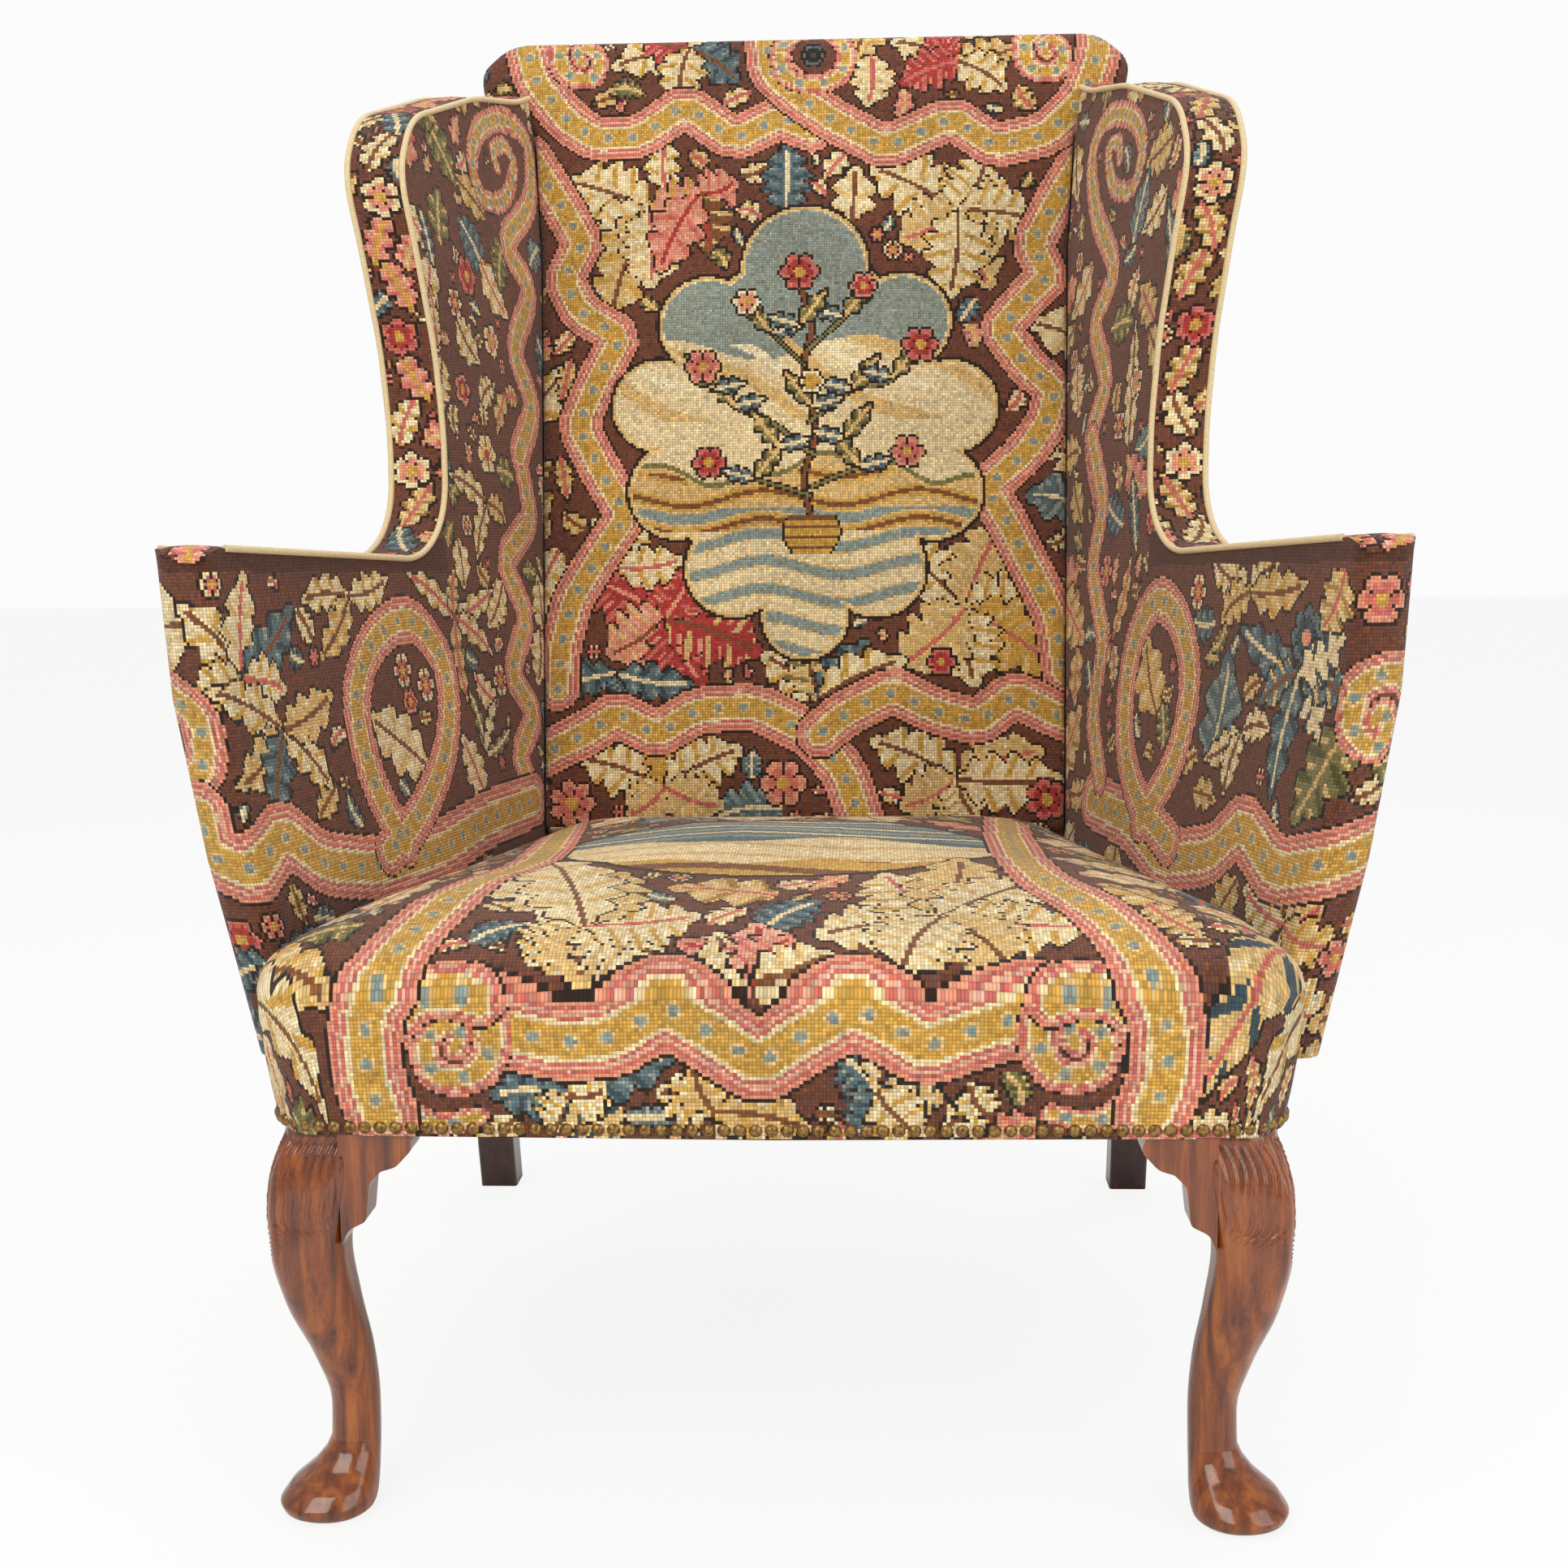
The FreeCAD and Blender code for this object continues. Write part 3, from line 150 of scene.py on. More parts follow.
def panel_frame(z):
    """Back corner, length and directions of the panel's plan at each height."""
    half = np.interp(z, panel_rows[:, 0], panel_rows[:, 1])
    corner = np.interp(z, panel_rows[:, 0], panel_rows[:, 2])
    opening = np.interp(z, panel_rows[:, 0], panel_rows[:, 3])
    rise = (z - arm_front_z[0]) / (arm_front_z[1] - arm_front_z[0])
    front = nose_line_y[0] + (nose_line_y[1] - nose_line_y[0]) * rise
    run = np.sqrt(1.0 + opening ** 2)
    length = (corner - front) * run - nose_radius
    ahead = np.stack([opening / run, -1.0 / run], -1)
    outward = np.stack([1.0 / run, opening / run], -1)
    return half, corner, length, ahead, outward


def panel_spot(q, z, side):
    """A point of the panel's skin: q millimetres behind the nose, negative round the nose."""
    half, corner, length, ahead, outward = panel_frame(z)
    joint = np.stack([half, corner], -1)
    share = np.clip((length - q) / length, 0, 1)
    crown = -panel_crown * 4 * share * (1 - share)
    inner = joint + ahead * (length - np.maximum(q, 0))[..., None] + outward * crown[..., None]
    inner_end = joint + ahead * length[..., None]
    turn_one = np.clip(-q / nose_radius, 0, math.pi / 2)
    flat = np.clip(-q - nose_quarter, 0, nose_flat)
    turn_two = np.clip((-q - nose_quarter - nose_flat) / nose_radius, 0, math.pi / 2)
    past = np.maximum(-q - 2 * nose_quarter - nose_flat, 0)
    forward = nose_radius * (np.sin(turn_one) - (1 - np.cos(turn_two))) - past
    sideways = nose_radius * (1 - np.cos(turn_one)) + flat + nose_radius * np.sin(turn_two)
    round_nose = inner_end + ahead * forward[..., None] + outward * sideways[..., None]
    plan = np.where((q > 0)[..., None], inner, round_nose)
    rear = q > length
    plan[rear] = joint[rear] + np.stack([0 * q[rear], (q - length)[rear]], -1)
    return np.stack([side * plan[..., 0], plan[..., 1], z], -1)


def outside_spot(r, z, side):
    """A point of the panel's outer face, r millimetres behind the nose."""
    half, corner, length, ahead, outward = panel_frame(z)
    joint = np.stack([half, corner], -1) + outward * panel_thickness
    share = np.clip((length - r) / length, 0, 1)
    crown = -panel_crown * 4 * share * (1 - share)
    plan = joint + ahead * (length - r)[..., None] + outward * crown[..., None]
    rear = r > length
    plan[rear] = joint[rear] + np.stack([0 * r[rear], (r - length)[rear]], -1)
    return np.stack([side * plan[..., 0], plan[..., 1], z], -1)


def panel_depth_spot(depth, y, z, side):
    """A point at a depth under the inner face, at a given distance from the front."""
    half, corner, length, ahead, outward = panel_frame(z)
    opening = -ahead[..., 0] / ahead[..., 1]
    run = np.sqrt(1 + opening ** 2)
    s = (corner + depth * opening / run - y) * run
    share = np.clip(s / length, 0, 1)
    depth_now = depth - panel_crown * 4 * share * (1 - share)
    s = (corner + depth_now * opening / run - y) * run
    return np.stack([side * (half + depth_now / run + s * opening / run), y, z], -1)


# %% [markdown]
# ## Outlines with round corners
# Panels, back and seat are drawn as corner points with a radius at each corner, as a
# pattern cutter would. A helper turns them into a fine line of points.

# %% Outlines
def rounded(points, radii, step=2.0):
    """Closed line through the corner points, each corner rounded by its own radius."""
    points = [np.array(p, float) for p in points]
    line = []
    count = len(points)
    for k in range(count):
        here, before, after = points[k], points[k - 1], points[(k + 1) % count]
        a = before - here
        b = after - here
        la, lb = np.hypot(*a), np.hypot(*b)
        a, b = a / la, b / lb
        half_angle = math.acos(np.clip(a @ b, -1, 1)) / 2
        if radii[k] <= 0 or half_angle > math.pi / 2 - 1e-3:
            line.append(here)
            continue
        reach = min(radii[k] / math.tan(half_angle), 0.48 * la, 0.48 * lb)
        radius = reach * math.tan(half_angle)
        middle = here + (a + b) / np.linalg.norm(a + b) * radius / math.sin(half_angle)
        start, end = here + a * reach, here + b * reach
        angle = math.pi - 2 * half_angle
        pieces = max(2, int(radius * angle / step))
        first = start - middle
        way = 1.0 if first[0] * (end - middle)[1] - first[1] * (end - middle)[0] > 0 else -1.0
        for i in range(pieces + 1):
            t = way * angle * i / pieces
            line.append(middle + np.array([first[0] * math.cos(t) - first[1] * math.sin(t),
                                           first[0] * math.sin(t) + first[1] * math.cos(t)]))
    return np.array(line)


def refine(line, step, closed=True):
    """The same line with points a steady step apart."""
    if closed:
        line = np.vstack([line, line[:1]])
    lengths = np.hypot(*np.diff(line, axis=0).T)
    along = np.concatenate([[0], np.cumsum(lengths)])
    count = max(2, int(along[-1] / step))
    goal = np.linspace(0, along[-1], count + 1)
    if closed:
        goal = goal[:-1]
    return np.stack([np.interp(goal, along, line[:, 0]), np.interp(goal, along, line[:, 1])], -1)


def inside_line(line, x, y):
    """Which points lie inside a closed line."""
    inside = np.zeros(x.shape, bool)
    x1, y1 = line[-1]
    for x2, y2 in line:
        crosses = (y1 > y) != (y2 > y)
        if y2 != y1:
            inside ^= crosses & (x < (x2 - x1) * (y - y1) / (y2 - y1) + x1)
        x1, y1 = x2, y2
    return inside


def nearest_on(line, x, y, closed=True):
    """Nearest place on a line of points, and the distance to it."""
    ends = np.roll(line, -1, axis=0) if closed else line[1:]
    starts = line if closed else line[:-1]
    best = np.full(x.shape, 1e18)
    at_x, at_y = np.zeros(x.shape), np.zeros(x.shape)
    for (ax, ay), (bx, by) in zip(starts, ends):
        dx, dy = bx - ax, by - ay
        size = dx * dx + dy * dy
        if size < 1e-9:
            continue
        t = np.clip(((x - ax) * dx + (y - ay) * dy) / size, 0, 1)
        px, py = ax + t * dx, ay + t * dy
        gap = (x - px) ** 2 + (y - py) ** 2
        nearer = gap < best
        best = np.where(nearer, gap, best)
        at_x = np.where(nearer, px, at_x)
        at_y = np.where(nearer, py, at_y)
    return at_x, at_y, np.sqrt(best)


panel_rear = back_y(1123.0) + 90.0
side_corners = [(arm_front_y[0], arm_front_z[0]), (arm_front_y[1], arm_front_z[1]),
                (432.0, 634.0), (455.0, 775.0), (424.0, 950.0),
                (462.0, 1001.0), (595.0, 1043.0), (690.0, 1058.0),
                (panel_rear, 1075.0 + (panel_rear - 690.0) * 0.2), (panel_rear, rail_bottom)]
side_radii = [0, 25, 92, 420, 62, 80, 160, 60, 0, 0]
side_line = rounded(side_corners, side_radii)


def panel_foot(y):
    """Height of the panel's lower edge, which falls a little to the rear."""
    share = (y - arm_front_y[0]) / (panel_rear - arm_front_y[0])
    return arm_front_z[0] + (rail_bottom - arm_front_z[0]) * share


print("side outline points:", len(side_line))

# %% [markdown]
# ## Needlework
# The covers are canvas work: every stitch is a small slanted block of one wool. So each
# cover is a grid whose cells are the stitches, about 2.4 millimetres apart, and a painter
# gives each cell its wool. Ribbons, leaves and flowers are drawn from distances, as a
# stitcher would draw them on canvas.

# %% Wools
def wool(code):
    return np.array([int(code[i:i + 2], 16) / 255.0 for i in (0, 2, 4)])


def paint(code):
    """The same colour as light, for a shader."""
    return (*[float(((v + 0.055) / 1.055) ** 2.4) for v in wool(code)], 1)


wools = {
    "ground": wool("6b4030"), "ground_dark": wool("543224"), "outline": wool("2c2019"),
    "cream": wool("e4cd9f"), "cream_light": wool("eedcb4"), "straw": wool("d6b274"),
    "gold": wool("c99c48"), "gold_dark": wool("a27a38"), "salmon": wool("d98f74"),
    "rose": wool("c76a5e"), "red": wool("ab3a36"), "pink": wool("dea58c"),
    "blue": wool("5c6d70"), "blue_dark": wool("3c4a50"), "blue_light": wool("8a958c"),
    "olive": wool("7d7546"), "olive_dark": wool("56532f"), "brown": wool("7d4e2e"),
    "sky": wool("8c9488"),
}
seed = np.random.default_rng(1730)


class Canvas:
    """The stitches of one cover: where each lies on its cloth, and the wool it has."""

    def __init__(self, x, y, spots, facing=None):
        self.x, self.y = x.ravel(), y.ravel()
        self.colour = np.tile(wools["ground"], (self.x.size, 1))
        self.bare = np.ones(self.x.size, bool)
        self.spots = picture_spot(spots.reshape(-1, 3))
        if facing is None:
            facing = np.ones(self.x.size, bool)
        self.facing = np.flatnonzero(facing.ravel())
        self.random = np.random.default_rng(9)

    def cloth(self, points):
        """Picture places to places on this cloth."""
        found = []
        seen = self.spots[self.facing]
        for point in points:
            gap = ((seen - np.array(point)) ** 2).sum(1)
            near = np.argpartition(gap, 40)[:40]
            base = np.column_stack([seen[near] - np.array(point), np.ones(40)])
            pick = self.facing[near]
            fit, *_ = np.linalg.lstsq(base, np.column_stack([self.x[pick], self.y[pick]]),
                                      rcond=None)
            found.append(fit[2])
        return np.array(found)

    def put(self, where, name):
        self.colour[where] = wools[name]
        self.bare[where] = False


def softened(points, rounds=1):
    """A line with its corners cut, ends kept."""
    points = np.asarray(points, float)
    for _ in range(rounds):
        cut = [points[0]]
        for a, b in zip(points[:-1], points[1:]):
            cut += [a * 0.86 + b * 0.14, a * 0.14 + b * 0.86]
        cut.append(points[-1])
        points = np.array(cut)
    return points


def curved(points, parts=6):
    """A smooth curve through the points."""
    p = np.asarray(points, float)
    p = np.vstack([2 * p[0] - p[1], p, 2 * p[-1] - p[-2]])
    line = []
    for k in range(1, len(p) - 2):
        for i in range(parts):
            t = i / parts
            line.append(0.5 * (2 * p[k] + (p[k + 1] - p[k - 1]) * t
                               + (2 * p[k - 1] - 5 * p[k] + 4 * p[k + 1] - p[k + 2]) * t * t
                               + (3 * p[k] - p[k - 1] - 3 * p[k + 1] + p[k + 2]) * t ** 3))
    line.append(p[-2])
    return np.array(line)


def along_line(line, x, y):
    """Distance to an open line and the length along it at the nearest place."""
    best = np.full(x.shape, 1e18)
    place = np.zeros(x.shape)
    travelled = 0.0
    for (ax, ay), (bx, by) in zip(line[:-1], line[1:]):
        dx, dy = bx - ax, by - ay
        size = math.hypot(dx, dy)
        if size < 1e-6:
            continue
        t = np.clip(((x - ax) * dx + (y - ay) * dy) / size ** 2, 0, 1)
        gap = (x - ax - t * dx) ** 2 + (y - ay - t * dy) ** 2
        nearer = gap < best
        best = np.where(nearer, gap, best)
        place = np.where(nearer, travelled + t * size, place)
        travelled += size
    return np.sqrt(best), place, travelled


def ribbon(canvas, points, width, end_width=None, cloth=False, smooth=False):
    """A banded ribbon: dark edge, salmon, rose and pale lines, and a gold middle with dots."""
    line = np.asarray(points, float) if cloth else canvas.cloth(points)
    line = curved(line) if smooth else softened(line)
    end_width = width if end_width is None else end_width
    low, high = line.min(0) - width, line.max(0) + width
    near = np.flatnonzero((canvas.x > low[0]) & (canvas.x < high[0])
                          & (canvas.y > low[1]) & (canvas.y < high[1]))
    gap, place, total = along_line(line, canvas.x[near], canvas.y[near])
    half = (width + (end_width - width) * place / total) * 0.61
    share = gap / half
    bands = [(1.0, "outline"), (0.93, "salmon"), (0.80, "rose"), (0.71, "pink"),
             (0.59, "rose"), (0.51, "cream"), (0.38, "gold")]
    for limit, name in bands:
        canvas.put(near[share < limit], name)
    beat = (place % 24.0) - 12.0
    dot = np.hypot(beat, gap)
    canvas.put(near[(dot < 6.0) & (share < 0.38)], "straw")
    canvas.put(near[(dot < 3.6) & (share < 0.38)], "blue_light")


def leaf(canvas, base, tip, width, body="cream", shade="gold", vein="rose", lobes=5,
         bend=0.0, cloth=False):
    """A lobed leaf from its base to its tip, outlined, shaded and veined."""
    ends = np.array([base, tip], float) if cloth else canvas.cloth([base, tip])
    axis = ends[1] - ends[0]
    length = math.hypot(*axis)
    if length < 5:
        return
    ahead = axis / length
    spread = length / 2 + width + abs(bend)
    middle = ends.mean(0)
    near = np.flatnonzero((np.abs(canvas.x - middle[0]) < spread)
                          & (np.abs(canvas.y - middle[1]) < spread))
    dx, dy = canvas.x[near] - ends[0][0], canvas.y[near] - ends[0][1]
    t = (dx * ahead[0] + dy * ahead[1]) / length
    w = -dx * ahead[1] + dy * ahead[0]
    ok = (t > 0) & (t < 1)
    tt = np.clip(t, 0, 1)
    w = w - bend * np.sin(math.pi * tt)
    wave = np.abs(np.cos(math.pi * lobes * (tt + 0.1 * np.abs(w) / width)))
    half = width * np.sin(math.pi * tt ** 0.8) ** 0.7 * (0.62 + 0.38 * wave)
    inside = ok & (np.abs(w) < half)
    canvas.put(near[inside], "outline")
    inner = ok & (np.abs(w) < half - 2.4) & (t < 0.985)
    canvas.put(near[inner], body)
    rib = (tt * lobes * 2 - np.abs(w) / width * 1.4) % 2.0
    canvas.put(near[inner & (rib < 0.55) & (np.abs(w) > width * 0.16)], shade)
    light = {"cream": "cream_light", "blue": "blue_light", "red": "salmon",
             "olive": "straw", "straw": "cream", "salmon": "pink"}.get(body, body)
    canvas.put(near[inner & (rib > 1.2) & (rib < 1.6) & (np.abs(w) > width * 0.3)], light)
    canvas.put(near[inner & (np.abs(w) < 2.0) & (tt < 0.88)], vein)


def spray(canvas, root, tips, width, bodies, shades, veins, lobes=4):
    """Several leaves from one root."""
    for k, tip in enumerate(tips):
        n = k % len(bodies)
        tip = (root[0] + (tip[0] - root[0]) * 1.22, root[1] + (tip[1] - root[1]) * 1.22)
        leaf(canvas, root, tip, width * 1.35, bodies[n], shades[n % len(shades)],
             veins[n % len(veins)], lobes, bend=(4.0 if k % 2 else -4.0))


def flower(canvas, centre, radius, petals=6, outer="salmon", inner="red", eye="gold",
           cloth=False):
    """A round flower of several petals."""
    middle = np.asarray(centre, float) if cloth else canvas.cloth([centre])[0]
    near = np.flatnonzero((np.abs(canvas.x - middle[0]) < radius)
                          & (np.abs(canvas.y - middle[1]) < radius))
    dx, dy = canvas.x[near] - middle[0], canvas.y[near] - middle[1]
    gap, angle = np.hypot(dx, dy), np.arctan2(dy, dx)
    edge = radius * (0.78 + 0.22 * np.abs(np.cos(angle * petals / 2)))
    canvas.put(near[gap < edge], "outline")
    canvas.put(near[gap < edge - 2.2], outer)
    canvas.put(near[gap < edge * 0.62], inner)
    canvas.put(near[(gap < edge - 2.2) & (gap > radius * 0.3)
                    & (np.abs(np.cos(angle * petals / 2)) < 0.2)], "outline")
    canvas.put(near[gap < radius * 0.26], eye)


def fill_round(canvas, spacing, allowed, tries):
    """Leaves and buds of one size on ground that is still bare, under what is there."""
    random = canvas.random
    sets = [("cream", "gold", "brown"), ("blue", "blue_dark", "cream"),
            ("straw", "gold_dark", "rose"), ("cream", "straw", "rose"),
            ("cream", "gold", "rose"), ("salmon", "rose", "straw"),
            ("olive", "olive_dark", "straw"), ("cream", "straw", "brown"),
            ("straw", "gold", "brown"), ("blue", "blue_light", "cream")]
    for _ in range(tries):
        k = allowed[random.integers(allowed.size)]
        if not canvas.bare[k]:
            continue
        middle = np.array([canvas.x[k], canvas.y[k]])
        near = np.flatnonzero((np.abs(canvas.x - middle[0]) < spacing)
                              & (np.abs(canvas.y - middle[1]) < spacing))
        if canvas.bare[near].mean() < 0.78:
            continue
        window = np.flatnonzero((np.abs(canvas.x - middle[0]) < spacing * 2.4)
                                & (np.abs(canvas.y - middle[1]) < spacing * 2.4))
        taken = window[~canvas.bare[window]]
        before = canvas.colour[taken].copy()
        angle = random.uniform(0, 2 * math.pi)
        reach = spacing * random.uniform(0.95, 1.3)
        along = np.array([math.cos(angle), math.sin(angle)]) * reach
        one = sets[random.integers(len(sets))]
        if random.uniform() < 0.2 and spacing < 24:
            flower(canvas, middle, spacing * 0.8, 6, "salmon" if one[0] == "blue" else "cream",
                   "rose", "gold", cloth=True)
        else:
            leaf(canvas, middle - along, middle + along, spacing * random.uniform(0.75, 1.0),
                 *one, lobes=int(random.integers(3, 6)), bend=random.uniform(-6, 6),
                 cloth=True)
        canvas.colour[taken] = before


def fill_bare(canvas, spacing, region=None, tries=320):
    """Foliage of falling size wherever the ground is still bare."""
    allowed = np.flatnonzero(canvas.bare if region is None else canvas.bare & region)
    if allowed.size:
        for part in (2.3, 1.7, 1.25, 0.9, 0.7):
            fill_round(canvas, spacing * part, allowed, tries)


def worn(canvas):
    """Linear colours of the stitches, each wool a little uneven, as old dyes are."""
    count = canvas.x.size
    slow = (np.sin(canvas.x / 31.0 + 1.3 * np.sin(canvas.y / 47.0))
            + np.sin(canvas.y / 23.0 + 1.7 * np.sin(canvas.x / 61.0))) * 0.5
    change = 1.0 + 0.045 * slow + seed.normal(0, 0.075, count)
    warm = seed.normal(0, 0.018, count)
    colour = canvas.colour * change[:, None]
    colour[:, 0] += warm
    colour[:, 2] -= warm
    colour = np.clip(colour, 0.02, 1.0)
    return np.where(colour <= 0.04045, colour / 12.92, ((colour + 0.055) / 1.055) ** 2.4)


# %% [markdown]
# ## From grid to cover
# A grid primitive has one cell for each stitch. Its corners are moved to the cover's
# surface, cells outside the cover are deleted, the edge is drawn to the seam, and each
# cell keeps its wool as a colour of its own.

# %% Covers from grids
def cloth_piece(name, corners, keep, colours):
    """One cover: a grid whose corners lie at the given places, with a colour per cell."""
    rows, columns = corners.shape[:2]
    bpy.ops.object.select_all(action="DESELECT")
    bpy.ops.mesh.primitive_grid_add(x_subdivisions=columns - 1, y_subdivisions=rows - 1,
                                    size=2.0)
    piece = bpy.context.object
    piece.name = name
    mesh = piece.data
    mesh.name = name
    flat = np.zeros(len(mesh.vertices) * 3)
    mesh.vertices.foreach_get("co", flat)
    flat = flat.reshape(-1, 3)
    column = np.rint((flat[:, 0] + 1) / 2 * (columns - 1)).astype(int)
    row = np.rint((flat[:, 1] + 1) / 2 * (rows - 1)).astype(int)
    mesh.vertices.foreach_set("co", metres(corners[row, column]).ravel())
    uv = mesh.uv_layers[0].data
    values = np.zeros(len(uv) * 2)
    uv.foreach_get("uv", values)
    values = values.reshape(-1, 2) * np.array([columns - 1, rows - 1])
    uv.foreach_set("uv", values.ravel())
    mesh.uv_layers[0].name = "stitches"
    per_face = values.reshape(-1, 4, 2).mean(1)
    cell_column = np.floor(per_face[:, 0]).astype(int)
    cell_row = np.floor(per_face[:, 1]).astype(int)
    tint = mesh.attributes.new("wool", "FLOAT_COLOR", "FACE")
    table = np.ones((len(mesh.polygons), 4))
    table[:, :3] = colours.reshape(rows - 1, columns - 1, 3)[cell_row, cell_column]
    tint.data.foreach_set("color", table.ravel())
    drop = ~keep[cell_row, cell_column]
    mesh.polygons.foreach_set("use_smooth", np.ones(len(mesh.polygons), bool))
    if drop.any():
        mesh.vertices.foreach_set("select", np.zeros(len(mesh.vertices), bool))
        mesh.edges.foreach_set("select", np.zeros(len(mesh.edges), bool))
        mesh.polygons.foreach_set("select", drop)
        bpy.ops.object.mode_set(mode="EDIT")
        bpy.ops.mesh.select_mode(type="FACE")
        bpy.ops.mesh.delete(type="FACE")
        bpy.ops.object.mode_set(mode="OBJECT")
    print(name, len(mesh.polygons), "stitches")
    return piece


def dress(piece, outward, fill, *nodes):
    """What all covers share: faces outward, wool, and the pieces that each stands for."""
    mesh = piece.data
    normals = np.zeros(len(mesh.polygons) * 3)
    mesh.polygons.foreach_get("normal", normals)
    if (normals.reshape(-1, 3) @ np.array(outward, float)).sum() < 0:
        mesh.flip_normals()
    mesh.materials.append(needlework)
    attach(piece, "root")
    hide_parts(*nodes)


def cell_centres(corners):
    return (corners[:-1, :-1] + corners[1:, :-1] + corners[:-1, 1:] + corners[1:, 1:]) / 4


# %% [markdown]
# ## Stitch material
# The wool is soft and dull. The shader reads each cell's own colour, and makes each
# stitch a small slanted bump from the stitch map, with a little fuzz. The colour is also
# multiplied down towards each stitch's edges: painted shade in the grooves between
# stitches, with a faint painted highlight on each stitch's crown.

# %% Materials
def new_material(name):
    material = bpy.data.materials.new(name)
    material.use_nodes = True
    nodes, links = material.node_tree.nodes, material.node_tree.links
    return material, nodes, links, nodes["Principled BSDF"]


def math_node(nodes, links, operation, a, b=None):
    node = nodes.new("ShaderNodeMath")
    node.operation = operation
    for socket, value in zip(node.inputs, (a, b)):
        if value is None:
            continue
        if hasattr(value, "links"):
            links.new(value, socket)
        else:
            socket.default_value = value
    return node.outputs[0]


def stitch_material(name):
    material, nodes, links, shader = new_material(name)
    colour = nodes.new("ShaderNodeAttribute")
    colour.attribute_name = "wool"
    place = nodes.new("ShaderNodeUVMap")
    place.uv_map = "stitches"
    split = nodes.new("ShaderNodeSeparateXYZ")
    links.new(place.outputs[0], split.inputs[0])
    u = math_node(nodes, links, "FRACT", split.outputs[0])
    v = math_node(nodes, links, "FRACT", split.outputs[1])
    lean = math_node(nodes, links, "ADD", u, math_node(nodes, links, "MULTIPLY", v, -0.35))
    hump_u = math_node(nodes, links, "SINE", math_node(nodes, links, "MULTIPLY", u, math.pi))
    hump_v = math_node(nodes, links, "SINE", math_node(nodes, links, "MULTIPLY", v, math.pi))
    hump = math_node(nodes, links, "MULTIPLY", hump_u, hump_v)
    hump = math_node(nodes, links, "POWER", hump, 0.6)
    strand = math_node(nodes, links, "SINE", math_node(nodes, links, "MULTIPLY", lean, 12.6))
    height = math_node(nodes, links, "ADD", hump,
                       math_node(nodes, links, "MULTIPLY", strand, 0.10))
    bump = nodes.new("ShaderNodeBump")
    bump.inputs["Strength"].default_value = 0.65
    bump.inputs["Distance"].default_value = 0.0009
    links.new(height, bump.inputs["Height"])
    links.new(bump.outputs[0], shader.inputs["Normal"])
    # Painted shade: the wool colour is darkened to 0.62 in the grooves between stitches and lifted
    # a little on each stitch's crown, a faint painted highlight.
    dark = nodes.new("ShaderNodeMix")
    dark.data_type = "RGBA"
    dark.blend_type = "MULTIPLY"
    dark.inputs[0].default_value = 1.0
    ramp = nodes.new("ShaderNodeMapRange")
    ramp.inputs["From Min"].default_value = 0.0
    ramp.inputs["From Max"].default_value = 0.75
    ramp.inputs["To Min"].default_value = 0.62
    ramp.inputs["To Max"].default_value = 1.04
    links.new(hump, ramp.inputs["Value"])
    links.new(colour.outputs["Color"], dark.inputs[6])
    links.new(ramp.outputs[0], dark.inputs[7])
    links.new(dark.outputs[2], shader.inputs["Base Color"])
    shader.inputs["Roughness"].default_value = 0.92
    shader.inputs["Specular IOR Level"].default_value = 0.2
    shader.inputs["Sheen Weight"].default_value = 0.15
    return material


needlework = stitch_material("needlework_wool")


def noise_material(name, low, high, scale, stretch=(1, 1, 1), rough=0.6, bump=0.0002,
                   metal=0.0, detail=4.0, sheen=0.0):
    """Two colours mixed by a stretched noise, with a bump from the same noise."""
    material, nodes, links, shader = new_material(name)
    place = nodes.new("ShaderNodeTexCoord")
    mapping = nodes.new("ShaderNodeMapping")
    mapping.inputs["Scale"].default_value = stretch
    links.new(place.outputs["Object"], mapping.inputs["Vector"])
    noise = nodes.new("ShaderNodeTexNoise")
    noise.inputs["Scale"].default_value = scale
    noise.inputs["Detail"].default_value = detail
    links.new(mapping.outputs[0], noise.inputs["Vector"])
    ramp = nodes.new("ShaderNodeValToRGB")
    ramp.color_ramp.elements[0].position = 0.33
    ramp.color_ramp.elements[1].position = 0.68
    for element, code in zip(ramp.color_ramp.elements, (low, high)):
        element.color = paint(code)
    links.new(noise.outputs["Fac"], ramp.inputs["Fac"])
    links.new(ramp.outputs[0], shader.inputs["Base Color"])
    shader.inputs["Roughness"].default_value = rough
    shader.inputs["Metallic"].default_value = metal
    if sheen:
        shader.inputs["Sheen Weight"].default_value = sheen
    relief = nodes.new("ShaderNodeBump")
    relief.inputs["Distance"].default_value = bump
    relief.inputs["Strength"].default_value = 0.6
    links.new(noise.outputs["Fac"], relief.inputs["Height"])
    links.new(relief.outputs[0], shader.inputs["Normal"])
    return material


